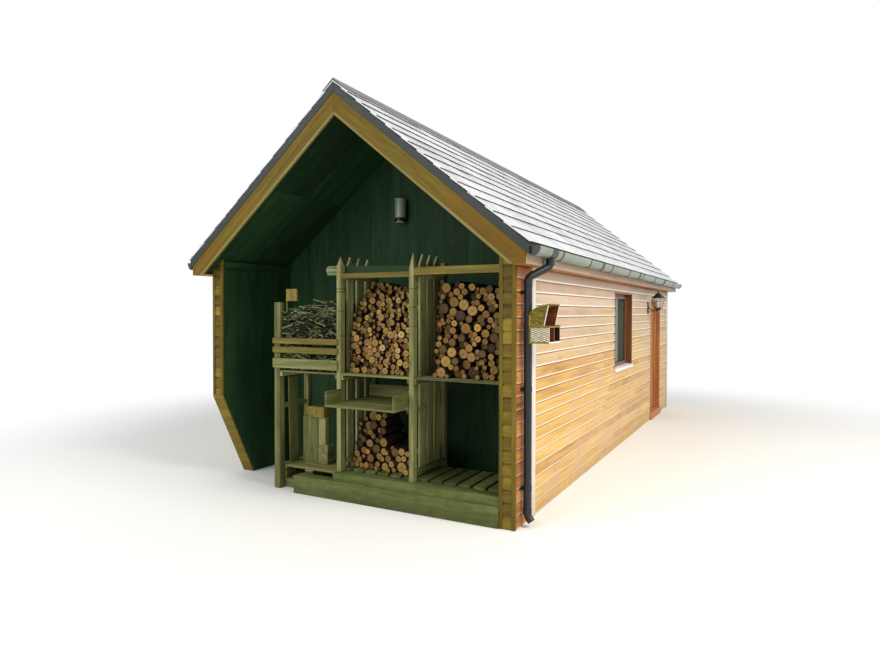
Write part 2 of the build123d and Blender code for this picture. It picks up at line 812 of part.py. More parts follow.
def settle(placed, radius, width, crown):
    """Return the height and place of the lowest seat for a log under the crown, or None."""
    best = None
    for x, z in pair_spots(placed, radius) + edge_spots(placed, radius, width):
        if not radius - 1e-6 <= x <= width - radius + 1e-6 or z < radius - 1e-6:
            continue
        if z + radius > crown(x / width):
            continue
        if best is not None and (z, x) >= best:
            continue
        if all(math.hypot(x - cx, z - cz) > cr + radius - 1e-6 for cx, cz, cr in placed):
            best = (z, x)
    return best


def stack_logs(width, crown, sizes, seed):
    """Return the centres and radii of logs settled up to a crown line."""
    chance = random.Random(seed)
    placed = []
    misses = 0
    while misses < 8:
        radius = chance.triangular(*sizes)
        seat = settle(placed, radius, width, crown)
        if seat is None:
            misses += 1
            continue
        placed.append((seat[1], seat[0], radius))
    return placed


def clip(ring, nx, nz, reach):
    """Return the part of a convex outline where x nx + z nz is under reach."""
    kept = []
    for i, (x1, z1) in enumerate(ring):
        x0, z0 = ring[i - 1]
        d0 = x0 * nx + z0 * nz - reach
        d1 = x1 * nx + z1 * nz - reach
        if (d0 < 0) != (d1 < 0):
            t = d0 / (d0 - d1)
            kept.append((x0 + t * (x1 - x0), z0 + t * (z1 - z0)))
        if d1 < 0:
            kept.append((x1, z1))
    return kept


def log_outline(index, placed, width, turn):
    """Return a log's outline: a polygon around its circle, flat where it meets others."""
    cx, cz, radius = placed[index]
    corner = radius / math.cos(math.pi / SIDES)
    ring = []
    for k in range(SIDES):
        angle = turn + 2 * math.pi * k / SIDES
        ring.append((corner * math.cos(angle), corner * math.sin(angle)))
    for other, (ox, oz, o_radius) in enumerate(placed):
        gap = math.hypot(ox - cx, oz - cz)
        if other == index or gap > corner + 1.1 * o_radius:
            continue
        free = gap - radius - o_radius
        reach = radius + free / 2 - SEAT / 2
        ring = clip(ring, (ox - cx) / gap, (oz - cz) / gap, reach)
    ring = clip(ring, 0, -1, cz)
    ring = clip(ring, -1, 0, cx)
    ring = clip(ring, 1, 0, width - cx)
    return tidy_ring(ring)


def tidy_ring(ring):
    """Return the outline without corners that lie within a millimetre of the last."""
    kept = []
    for point in ring:
        if not kept or math.dist(point, kept[-1]) > 1.0:
            kept.append(point)
    if math.dist(kept[0], kept[-1]) <= 1.0:
        kept.pop()
    return kept


def log_prisms(placed, stack, width):
    """Return the stack as faceted logs whose ends lean back towards the crown."""
    chance = random.Random(stack["seed"] + 1)
    toe, lean = stack["lean"]
    tall = stack["tall"]
    solids = []
    for index, (cx, cz, radius) in enumerate(placed):
        face = RACK_FRONT + toe + lean * cz / tall + chance.uniform(0, 60)
        turn = chance.uniform(0, math.pi / 4)
        ring = log_outline(index, placed, width, turn)
        outline = [(stack["x0"] + cx + x, stack["z0"] + cz + z) for x, z in ring]
        solids.append(section_y(outline, face, max(face + LOG_MIN, RACK_BACK - 30)))
    return Compound(solids)


def heap_crown(t):
    """Return the height of the lower heap at a share of its width from the left."""
    knots = [(0, 430), (0.12, 540), (0.36, 540), (0.42, 330), (0.56, 240), (1, 250)]
    for (t0, h0), (t1, h1) in zip(knots, knots[1:]):
        if t <= t1:
            return h0 + (h1 - h0) * (t - t0) / (t1 - t0)
    return knots[-1][1]


STACKS = {
    "logs_centre_upper": {
        "x0": LEFT_X + 50 + SEAT,
        "x1": MID_X - SEAT,
        "z0": SHELF_TOP + SEAT,
        "crown": lambda t: 890 + 30 * math.sin(9 * t),
        "sizes": (24, 58, 36),
        "lean": (90, 330),
        "tall": 890.0,
        "seed": 5,
    },
    "logs_right_upper": {
        "x0": MID_X + 50 + SEAT,
        "x1": WALL_X - SEAT,
        "z0": SHELF_TOP + SEAT,
        "crown": lambda t: 890 + 20 * math.sin(7 * t + 1),
        "sizes": (30, 76, 46),
        "lean": (200, 190),
        "tall": 890.0,
        "seed": 8,
    },
    "logs_centre_lower": {
        "x0": LEFT_X + 50 + SEAT,
        "x1": MID_X - SEAT,
        "z0": DECK_TOP + SEAT,
        "crown": heap_crown,
        "sizes": (26, 60, 36),
        "lean": (80, 300),
        "tall": 560.0,
        "seed": 3,
    },
}


def log_stack(name):
    """Return the settled logs of one stack."""
    stack = STACKS[name]
    width = stack["x1"] - stack["x0"]
    placed = stack_logs(width, stack["crown"], stack["sizes"], stack["seed"])
    return log_prisms(placed, stack, width)


def build():
    """Return every named piece of the log store."""
    back = GABLE_BACK + SEAT
    front = (-GABLE_OUT, -back)
    rear = (LENGTH + back, LENGTH + GABLE_OUT)
    verge_front = (-GABLE_OUT - 5, -back)
    verge_rear = (LENGTH + back, LENGTH + GABLE_OUT + 5)
    return {
        "wall_right_store": side_wall(TRIM_T, STORE_DEPTH),
        "wall_right_room": right_room_wall(),
        "wall_over_door": side_wall(DOOR_Y0, DOOR_Y1, DOOR_HEAD),
        "wall_right_rear": side_wall(DOOR_Y1, REAR_Y),
        "wall_left_store": left_store_wall(),
        "wall_left_room": mirrored(side_wall(STORE_DEPTH, REAR_Y)),
        "wall_partition": section_y(gable_outline(INNER, 0), STORE_DEPTH, ROOM_Y0),
        "wall_rear_gable": section_y(gable_outline(HALF, 0), REAR_Y, LENGTH),
        "room_floor": block(-INNER, INNER, ROOM_Y0, REAR_Y, 0, FLOOR_T),
        "roof_right": roof_deck(),
        "roof_left": mirrored(roof_deck()),
        "slates_right": slate_layer(),
        "slates_left": mirrored(slate_layer()),
        "ridge_cap": ridge_cap(),
        "verges": together(both(verge_strip, *verge_front), both(verge_strip, *verge_rear)),
        "bargeboards": together(both(bargeboard, *front), both(bargeboard, *rear)),
        "fascias": together(both(fascia)),
        "soffits": together(both(soffit)),
        "gutters": together(both(gutter)),
        "downpipe": downpipe(),
        "end_trims": together(right_end_trims(), left_end_trims()),
        "wall_trims": together(wall_trims()),
        "window_frame": together([window_frame(), window_sill()]),
        "window_glass": window_glass(),
        "door_frame": door_frame(),
        "door_leaf": door_leaf(),
        "door_glass": door_glass(),
        "door_furniture": together(door_furniture()),
        "lantern": lantern(),
        "store_light": store_light(),
        "nest_box": together(nest_box()),
        "divider_left": divider(LEFT_X, RACK_TOP, 100, (250, 405, 560), 95),
        "divider_middle": divider(MID_X, RACK_TOP + 10, 165, (275, 415, 555), 118),
        "shelf_cleats": together(wall_cleats(), tray_runners()),
        "shelf_left": together(shelf(BAY_POST_X + 75 + SEAT, LEFT_X - SEAT, LEFT_BACK)),
        "shelf_centre": together(shelf(LEFT_X + 50 + SEAT, MID_X - SEAT)),
        "shelf_right": together(shelf(MID_X + 50 + SEAT, WALL_X - SEAT)),
        "top_shelf": top_shelf(),
        "top_rail": together([top_rail(), loose_plank()]),
        "left_frame": left_frame(),
        "left_slats": together(left_slats()),
        "tray": tray(),
        "base_timbers": together(base_timbers()),
        "rack_floor": rack_floor(),
        "left_pallet": left_pallet(),
        "stored_timber": together(stored_timber()),
        "kindling": kindling(),
        "logs_centre_upper": log_stack("logs_centre_upper"),
        "logs_right_upper": log_stack("logs_right_upper"),
        "logs_centre_lower": log_stack("logs_centre_lower"),
    }


def main():
    """Build every piece and write one STEP file for each."""
    os.makedirs("parts", exist_ok=True)
    for name, shape in build().items():
        placed = shape.moved(Location((0, Y_SHIFT, 0)))
        export_step(placed, f"parts/{name}.step")
        box = placed.bounding_box()
        print(name, round(placed.volume / 1e9, 5), box.min, box.max)


if __name__ == "__main__":
    main()
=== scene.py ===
"""The looks of a timber log store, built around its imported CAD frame.

The building's sub-assemblies are classes that hold their sizes in metres and make
their own meshes and finishes. Heights are measured from the ground, widths from the
middle of the gable, and depths from the face of the open end, which Y_SHIFT moves
to the frame's own origin.
"""
import logging
import math
import random
from collections.abc import Callable, Iterable, Sequence
from dataclasses import dataclass, field
from enum import Enum

import bmesh
import bpy
from mathutils import Matrix, Vector


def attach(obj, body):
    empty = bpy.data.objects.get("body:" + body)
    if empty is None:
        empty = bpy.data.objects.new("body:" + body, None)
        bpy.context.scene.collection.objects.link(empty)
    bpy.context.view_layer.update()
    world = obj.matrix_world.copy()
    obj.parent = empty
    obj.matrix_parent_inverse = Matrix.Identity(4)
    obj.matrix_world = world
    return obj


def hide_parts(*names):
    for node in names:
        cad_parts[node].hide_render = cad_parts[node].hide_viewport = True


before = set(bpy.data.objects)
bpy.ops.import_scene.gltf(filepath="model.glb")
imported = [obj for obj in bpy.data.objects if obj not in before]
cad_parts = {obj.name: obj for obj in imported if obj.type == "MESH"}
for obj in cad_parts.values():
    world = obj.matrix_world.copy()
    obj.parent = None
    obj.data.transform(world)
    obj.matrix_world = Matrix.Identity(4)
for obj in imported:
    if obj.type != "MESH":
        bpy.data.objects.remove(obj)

LOG = logging.getLogger("log_store")
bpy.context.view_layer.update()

Point = tuple[float, float, float]
Colour = tuple[float, float, float]
Pair = tuple[float, float]
Box = tuple[float, float, float, float]
Solid = bmesh.types.BMesh
Material = bpy.types.Material

Y_SHIFT = -3.979
HALF = 1.78
WIDTH = 2 * HALF
WALL_T = 0.15
INNER = HALF - WALL_T
LENGTH = 8.0
COVER = 0.112
COURSES = 20
PITCH = math.radians(39.5)
COS = math.cos(PITCH)
SIN = math.sin(PITCH)
TAN = math.tan(PITCH)
APEX = 4.031
SLATE_T = 0.022
ROOF_T = 0.215
EAVES_OUT = 0.138
GABLE_OUT = 0.148
BARGE_T = 0.025
GABLE_BACK = GABLE_OUT - BARGE_T
SLATE_OUT = EAVES_OUT + 0.052
SLATE_VERGE = GABLE_OUT + 0.01
SOFFIT_Z = COURSES * COVER + 0.01
SOFFIT_T = 0.015
FASCIA_T = 0.018
TRIM_T = 0.012
STORE_DEPTH = 1.08
DOOR_Y0 = 6.23
DOOR_Y1 = 7.2
DOOR_HEAD = 2.08
WINDOW_Y0 = 3.6
WINDOW_Y1 = 4.7
WINDOW_Z0 = 1.05
WINDOW_Z1 = 2.11
CUT_TOP = 0.93
CUT_FOOT = 0.47
RACK_FRONT = 0.05
RACK_BACK = 0.72
RACK_TOP = SOFFIT_Z + 0.14
SLEEPER_TOP = 0.18
BEARER_TOP = 0.265
SHELF_TOP = 1.235
SHELF_T = 0.018
TRAY_TOP = 0.962
TRAY_T = 0.022
TRAY_OUT = 0.2
DECK_TOP = 0.29
DECK_T = 0.025
PALLET_TOP = 0.235
LOG_MIN = 0.25
SHELF_BACK = RACK_BACK - 0.03
LEFT_BACK = RACK_BACK - 0.135
LEFT_REAR_POST = 0.07
POST = 0.05
REAR_POST = 0.06
RAIL = 0.045
LEFT_X = -0.12
MID_X = 0.71
BAY_POST_X = -0.93
BAY_POST = 0.075
SEAT = 0.0003
CORE_BACK = 0.016

X_AXIS = Vector((1, 0, 0))
Y_AXIS = Vector((0, 1, 0))
Z_AXIS = Vector((0, 0, 1))


def roof_z(x: float, drop: float = 0.0) -> float:
    """Return the height at x of the plane that lies drop under the slates."""
    return APEX - drop / COS - abs(x) * TAN


def paint(red: int, green: int, blue: int) -> Colour:
    """Return a colour that is written as it looks, as the shader's linear values."""
    return tuple(
        ((c / 255 + 0.055) / 1.055) ** 2.4 if c > 10 else c / 255 / 12.92 for c in (red, green, blue))


def axes(origin: Sequence[float], along: Vector, across: Vector) -> Matrix:
    """Return the matrix that sets a piece's own axes in the building.

    Args:
        origin: Where the piece's own origin goes, with its depth from the open end.
        along: The direction of the piece's length and grain.
        across: The direction of its width.

    Returns:
        The matrix, with the frame's shift in it.
    """
    third = along.cross(across)
    place = Matrix((along, across, third)).transposed().to_4x4()
    place.translation = Vector(origin) + Vector((0, Y_SHIFT, 0))
    return place


class Grain(Enum):
    """Where a timber finish takes the direction of its grain from."""

    PIECE = "piece"
    X = "x"
    Y = "y"
    Z = "z"


# Shader trees
def math_method(operation: str, turned_round: bool = False) -> Callable[..., "Socket"]:
    """Return a method that adds a Math node.

    Args:
        operation: The node's operation.
        turned_round: Whether the other value comes first.

    Returns:
        The method.
    """
    def method(self: "Socket", other: object = 0.0) -> "Socket":
        """Return the node's value."""
        first, second = (other, self) if turned_round else (self, other)
        return self.tree.node("ShaderNodeMath", {"operation": operation}, {0: first, 1: second})
    return method


class Socket:
    """A shader output that takes part in plain arithmetic."""

    __add__ = __radd__ = math_method("ADD")
    __sub__ = math_method("SUBTRACT")
    __rsub__ = math_method("SUBTRACT", True)
    __mul__ = __rmul__ = math_method("MULTIPLY")
    __truediv__ = math_method("DIVIDE")
    __pow__ = math_method("POWER")
    sine = math_method("SINE")
    fraction = math_method("FRACT")
    least = math_method("MINIMUM")
    most = math_method("MAXIMUM")

    def __init__(self, tree: "ShaderTree", plug: bpy.types.NodeSocket) -> None:
        """Keep the output and the tree that it belongs to."""
        self.tree = tree
        self.plug = plug

    def step(self, low: float, high: float) -> "Socket":
        """Return a smooth step of this, 0 at low and 1 at high."""
        start, end = (low, high) if low < high else (high, low)
        made = self.tree.node(
            "ShaderNodeMapRange", {"interpolation_type": "SMOOTHSTEP"},
            {"Value": self, "From Min": start, "From Max": end})
        return made if low < high else 1.0 - made


class ShaderTree:
    """The node tree of one material, or of the world."""

    def __init__(self, owner: str | bpy.types.World) -> None:
        """Start an empty tree under a material's name, or in the world."""
        self.owner = bpy.data.materials.new(owner) if isinstance(owner, str) else owner
        self.owner.use_nodes = True
        self.nodes = self.owner.node_tree.nodes
        self.links = self.owner.node_tree.links
        self.nodes.clear()

    def node(
            self, kind: str, settings: dict | None = None, inputs: dict | None = None,
            output: int | str = 0) -> Socket:
        """Add a node.

        Args:
            kind: The node's type.
            settings: Its own settings, and a ramp's colours as "stops".
            inputs: The values or links of its sockets, by name or number.
            output: Which output is returned.

        Returns:
            The chosen output.
        """
        made = self.nodes.new(kind)
        for key, value in (settings or {}).items():
            if key == "stops":
                self._colour_stops(made.color_ramp, value)
            else:
                setattr(made, key, value)
        for key, value in (inputs or {}).items():
            socket = made.inputs[key]
            if isinstance(value, Socket):
                self.links.new(value.plug, socket)
            elif socket.type == "RGBA" and len(value) == 3:
                socket.default_value = (*value, 1.0)
            else:
                socket.default_value = value
        return Socket(self, made.outputs[output]) if made.outputs else None

    @staticmethod
    def _colour_stops(ramp: bpy.types.ColorRamp, stops: Sequence) -> None:
        """Set a ramp's stops from pairs of place and colour."""
        while len(ramp.elements) > 1:
            ramp.elements.remove(ramp.elements[-1])
        ramp.elements[0].position = stops[0][0]
        ramp.elements[0].color = (*stops[0][1], 1.0)
        for place, colour in stops[1:]:
            ramp.elements.new(place).color = (*colour, 1.0)

    def attribute(self, name: str, output: str = "Fac") -> Socket:
        """Return one of the piece's own attributes."""
        return self.node("ShaderNodeAttribute", {"attribute_name": name}, output=output)

    def own(self) -> tuple[Socket, Socket]:
        """Return where a point lies on its own part, and the part's tone."""
        return self.attribute("grain", "Vector"), self.attribute("tone")

    def place(self) -> Socket:
        """Return the object coordinates."""
        return self.node("ShaderNodeTexCoord", output="Object")

    def parts(self, vector: Socket) -> tuple[Socket, Socket, Socket]:
        """Return the three parts of a vector."""
        split = self.node("ShaderNodeSeparateXYZ", inputs={0: vector})
        outs = split.plug.node.outputs
        return tuple(Socket(self, outs[i]) for i in range(3))

    def scaled(self, vector: Socket, scale: Point, move: Point = (0, 0, 0)) -> Socket:
        """Return coordinates stretched by a Mapping node."""
        return self.node(
            "ShaderNodeMapping", inputs={"Vector": vector, "Scale": scale, "Location": move})

    def noise(
            self, vector: Socket, scale: float, detail: float = 4.0, roughness: float = 0.55,
            distortion: float = 0.0) -> Socket:
        """Return a noise field between 0 and 1."""
        return self.node(
            "ShaderNodeTexNoise",
            inputs={
                "Vector": vector, "Scale": scale, "Detail": detail, "Roughness": roughness,
                "Distortion": distortion})

    def cells(self, vector: Socket, scale: float, output: str = "Distance") -> Socket:
        """Return a field of scattered cells."""
        return self.node(
            "ShaderNodeTexVoronoi", inputs={"Vector": vector, "Scale": scale}, output=output)

    def ramp(self, value: Socket, stops: Sequence) -> Socket:
        """Return a colour read from stops by a value."""
        return self.node("ShaderNodeValToRGB", {"stops": stops}, {"Fac": value})

    def mix(self, share: object, first: object, second: object, blend: str = "MIX") -> Socket:
        """Return two colours mixed."""
        return self.node(
            "ShaderNodeMix", {"data_type": "RGBA", "blend_type": blend},
            {0: share, 6: first, 7: second}, output=2)

    def bump(self, height: Socket, distance: float, strength: float = 1.0) -> Socket:
        """Return a normal that a height field roughens."""
        return self.node(
            "ShaderNodeBump", inputs={"Height": height, "Distance": distance, "Strength": strength})

    def close(self, **inputs: object) -> Material:
        """Finish the tree with one surface shader.

        Args:
            inputs: The shader's sockets, with "_" for a space in their names.

        Returns:
            The material.
        """
        named = {key.replace("_", " "): value for key, value in inputs.items()}
        shader = self.node("ShaderNodeBsdfPrincipled", inputs=named)
        self.node("ShaderNodeOutputMaterial", inputs={"Surface": shader})
        return self.owner


@dataclass(frozen=True)
class TimberFinish:
    """A sawn or planed timber with its stain, knots, bleached patches and dirt, and painted light: a
    sunlit top, lit board noses and shaded grooves.
    """

    name: str
    dark: Colour
    middle: Colour
    light: Colour
    spread: float = 0.3
    coarse: float = 24.0
    contrast: float = 1.0
    knots: float = 0.4
    knot_colour: Colour = (0.05, 0.02, 0.01)
    roughness: float = 0.5
    relief: float = 0.0012
    coat: float = 0.0
    bleach: float = 0.0
    bleach_colour: Colour = (0.6, 0.5, 0.35)
    splash: float = 0.0
    splash_colour: Colour = (0.1, 0.09, 0.05)
    splash_top: float = 0.5
    moss: float = 0.0
    moss_colour: Colour = (0.1, 0.13, 0.04)
    # The painted_sunlight fields blend the upper courses to paler colours: painted sunlight, not
    # weathering.
    painted_sunlight: float = 0.0
    painted_sunlight_dark: Colour = (0.4, 0.3, 0.2)
    painted_sunlight_light: Colour = (0.7, 0.6, 0.45)
    painted_sunlight_from: float = 0.95
    painted_sunlight_to: float = 2.0
    # The nose fields paint a bright line along each board's lower nose: a painted highlight.
    nose: float = 0.0
    nose_highlight_colour: Colour = (0.9, 0.78, 0.55)
    shine: float = 0.5
    specks: float = 0.0

    def make(self, grain: Grain = Grain.PIECE) -> Material:
        """Build the material.

        Args:
            grain: Whether the grain follows each piece or one axis of the building.

        Returns:
            The material.
        """
        tree = ShaderTree(f"{self.name}_{grain.value}")
        place = tree.place()
        fine = self.coarse * 6
        if grain is Grain.PIECE:
            local, tone = tree.own()
            order = (0, 1, 2)
        else:
            local = place
            tone = tree.noise(place, 2.1, 1.0)
            first = "xyz".index(grain.value)
            order = (first, (first + 1) % 3, (first + 2) % 3)

        def stretch(along: float, over: float) -> Socket:
            """Return the coordinates scaled along the grain and across it."""
            scale = [0.0, 0.0, 0.0]
            scale[order[0]] = along
            scale[order[1]] = over
            scale[order[2]] = over
            return tree.scaled(local, tuple(scale))

        figure = tree.noise(stretch(0.9, self.coarse * 0.45), 1.0, 3.0, 0.5, 0.9)
        streak = tree.noise(stretch(1.6, self.coarse * 1.6), 1.0, 6.0, 0.62, 0.4)
        fibre = tree.noise(stretch(7.0, fine), 1.0, 3.0, 0.6)
        value = (figure * 0.45 + streak * 0.4 + fibre * 0.15 - 0.5) * self.contrast
        value = value * 1.9 + (tone - 0.5) * self.spread + 0.5
        colour = tree.ramp(value, [(0.12, self.dark), (0.5, self.middle), (0.88, self.light)])
        patch = tree.noise(place, 1.3, 4.0, 0.6, 0.6)
        height = tree.parts(place)[2]
        # Painted sunlight: above a wavy height line the colour turns paler, as if more strongly lit.
        if self.painted_sunlight:
            sunlit_colour = tree.mix(value, self.painted_sunlight_dark, self.painted_sunlight_light)
            line = height + (patch - 0.5) * 1.8 + (tone - 0.5) * 0.45
            colour = tree.mix(line.step(self.painted_sunlight_from, self.painted_sunlight_to) * self.painted_sunlight, colour, sunlit_colour)
        knot = tree.cells(stretch(2.4, 9.0), 1.0)
        ring = (knot * 46.0).sine() * 0.5 + 0.5
        spot = knot.step(0.15, 0.02) * self.knots
        halo = knot.step(0.26, 0.1) * self.knots * ring * 0.5
        colour = tree.mix(halo, colour, self.dark)
        colour = tree.mix(spot, colour, self.knot_colour)
        if self.bleach:
            colour = tree.mix(patch.step(0.42, 0.68) * self.bleach, colour, self.bleach_colour)
        dirt = tree.noise(place, 9.0, 5.0, 0.65)
        if self.specks:
            dot = tree.cells(place, 5.0).step(0.055, 0.035)
            colour = tree.mix(dot * self.specks, colour, self.light)
        # Painted highlight along each board's nose, and painted shade in the groove at the top of each
        # course.
        if self.nose:
            part = (height / COVER).fraction()
            colour = tree.mix(part.step(0.16, 0.08) * self.nose, colour, self.nose_highlight_colour)
            colour = tree.mix(part.step(0.9, 0.935) * 0.75, colour, self.knot_colour)
        if self.splash:
            low = (1.0 - height / self.splash_top).most(0.0)
            colour = tree.mix((low * (dirt * 1.6)).least(1.0) * self.splash, colour, self.splash_colour)
        if self.moss:
            colour = tree.mix(dirt.step(0.48, 0.66) * self.moss, colour, self.moss_colour)
        rough = (self.roughness + (streak - 0.5) * 0.25 + (dirt - 0.5) * 0.12)
        relief = streak * 0.55 + fibre * 0.45 - spot * 0.5
        normal = tree.bump(relief, self.relief)
        return tree.close(
            Base_Color=colour, Roughness=rough, Normal=normal, Coat_Weight=self.coat,
            Coat_Roughness=0.35, Specular_IOR_Level=self.shine)


@dataclass(frozen=True)
class SlateFinish:
    """Riven roofing slate with its own shade on every slate."""

    name: str
    dark: Colour
    light: Colour
    bloom: Colour
    roughness: float = 0.42

    def make(self) -> Material:
        """Build the material and return it."""
        tree = ShaderTree(self.name)
        local, tone = tree.own()
        place = tree.place()
        riven = tree.noise(tree.scaled(local, (14.0, 9.0, 9.0)), 1.0, 6.0, 0.62, 0.5)
        fleck = tree.noise(local, 170.0, 2.0)
        weather = tree.noise(place, 1.1, 4.0, 0.6, 0.4)
        value = riven * 0.5 + tone * 0.55 - 0.05 + (fleck - 0.5) * 0.2
        colour = tree.ramp(value, [(0.15, self.dark), (0.85, self.light)])
        colour = tree.mix(weather.step(0.45, 0.75) * 0.35, colour, self.bloom)
        lichen = tree.cells(place, 13.0)
        speck = lichen.step(0.16, 0.05) * tree.noise(place, 2.7, 2.0).step(0.55, 0.7)
        colour = tree.mix(speck * 0.5, colour, paint(150, 158, 128))
        rough = self.roughness + (riven - 0.5) * 0.3 + (tone - 0.5) * 0.12
        normal = tree.bump(riven * 0.8 + fleck * 0.2, 0.0022)
        return tree.close(Base_Color=colour, Roughness=rough, Normal=normal, Specular_IOR_Level=0.9)


@dataclass(frozen=True)
class MouldedFinish:
    """Moulded plastic or painted metal with dust, runs and a worn sheen."""

    name: str
    base: Colour
    dust: Colour
    dusting: float = 0.35
    roughness: float = 0.38
    metallic: float = 0.0
    pits: float = 0.0004

    def make(self) -> Material:
        """Build the material and return it."""
        tree = ShaderTree(self.name)
        place = tree.place()
        cloud = tree.noise(place, 3.2, 4.0, 0.6, 0.5)
        runs = tree.noise(tree.scaled(place, (60.0, 60.0, 2.0)), 1.0, 3.0, 0.6)
        grit = tree.noise(place, 240.0, 2.0)
        share = (cloud.step(0.38, 0.72) * 0.6 + runs.step(0.5, 0.8) * 0.4) * self.dusting
        colour = tree.mix(share, self.base, self.dust)
        rough = self.roughness + share * 0.35 + (grit - 0.5) * 0.1
        normal = tree.bump(grit * 0.5 + cloud * 0.5, self.pits)
        return tree.close(Base_Color=colour, Roughness=rough, Normal=normal, Metallic=self.metallic)


@dataclass(frozen=True)
class BarkFinish:
    """Ridged bark round a log."""

    name: str
    dark: Colour
    light: Colour

    def make(self) -> Material:
        """Build the material and return it."""
        tree = ShaderTree(self.name)
        local, tone = tree.own()
        ridge = tree.noise(tree.scaled(local, (14.0, 90.0, 90.0)), 1.0, 5.0, 0.6, 1.2)
        plate = tree.cells(tree.scaled(local, (22.0, 60.0, 60.0)), 1.0)
        value = ridge * 0.6 + plate * 0.3 + (tone - 0.5) * 0.5
        colour = tree.ramp(value, [(0.2, self.dark), (0.8, self.light)])
        normal = tree.bump(ridge * 0.6 + plate * 0.4, 0.004)
        return tree.close(Base_Color=colour, Roughness=0.9, Normal=normal, Specular_IOR_Level=0.2)


@dataclass(frozen=True)
class EndGrainFinish:
    """The sawn end of a log: rings, rays, drying cracks and its own tone."""

    name: str
    heart: Colour
    rim: Colour
    tones: tuple[tuple[float, Colour], ...]

    def make(self) -> Material:
        """Build the material and return it."""
        tree = ShaderTree(self.name)
        local, tone = tree.own()
        _, across, up = tree.parts(local)
        radius = (across * across + up * up) ** 0.5
        warp = tree.noise(local, 28.0, 3.0)
        rings = ((radius + warp * 0.008) * 1500.0).sine() * 0.5 + 0.5
        blotch = tree.noise(local, 45.0, 3.0, 0.6)
        saw = tree.noise(tree.scaled(local, (30.0, 40.0, 700.0)), 1.0, 3.0, 0.6)
        colour = tree.ramp(tone + (blotch - 0.5) * 0.16, self.tones)
        shade = rings * 0.3 + blotch * 0.9 + (saw - 0.5) * 0.3 - 0.35
        colour = tree.mix(shade * 0.75, colour, self.rim, "SOFT_LIGHT")
        inner = (radius + (warp - 0.5) * 0.008).step(0.017, 0.006)
        colour = tree.mix(inner * (0.35 + tone * 0.35), colour, self.heart)
        slope = across / (up + 0.0007)
        crack = tree.node("ShaderNodeMath", {"operation": "ARCTANGENT"}, {0: slope})
        split = (crack * 2.0 + tone * 6.0 + warp).sine().step(0.992, 1.0)
        colour = tree.mix(split * 0.6, colour, paint(60, 40, 22))
        normal = tree.bump(saw * 0.6 + rings * 0.2 - split * 0.5, 0.0012)
        return tree.close(Base_Color=colour, Roughness=0.78, Normal=normal, Specular_IOR_Level=0.2)


@dataclass(frozen=True)
class GlassFinish:
    """A clear or tinted pane."""

    name: str
    tint: Colour
    alpha: float = 0.35
    roughness: float = 0.04

    def make(self) -> Material:
        """Build the material and return it."""
        tree = ShaderTree(self.name)
        smear = tree.noise(tree.place(), 6.0, 4.0, 0.6, 0.8)
        rough = self.roughness + smear.step(0.5, 0.8) * 0.12
        colour = tree.mix(smear.step(0.4, 0.9) * 0.3, self.tint, paint(120, 132, 126))
        return tree.close(Base_Color=colour, Roughness=rough, IOR=1.5, Alpha=self.alpha)


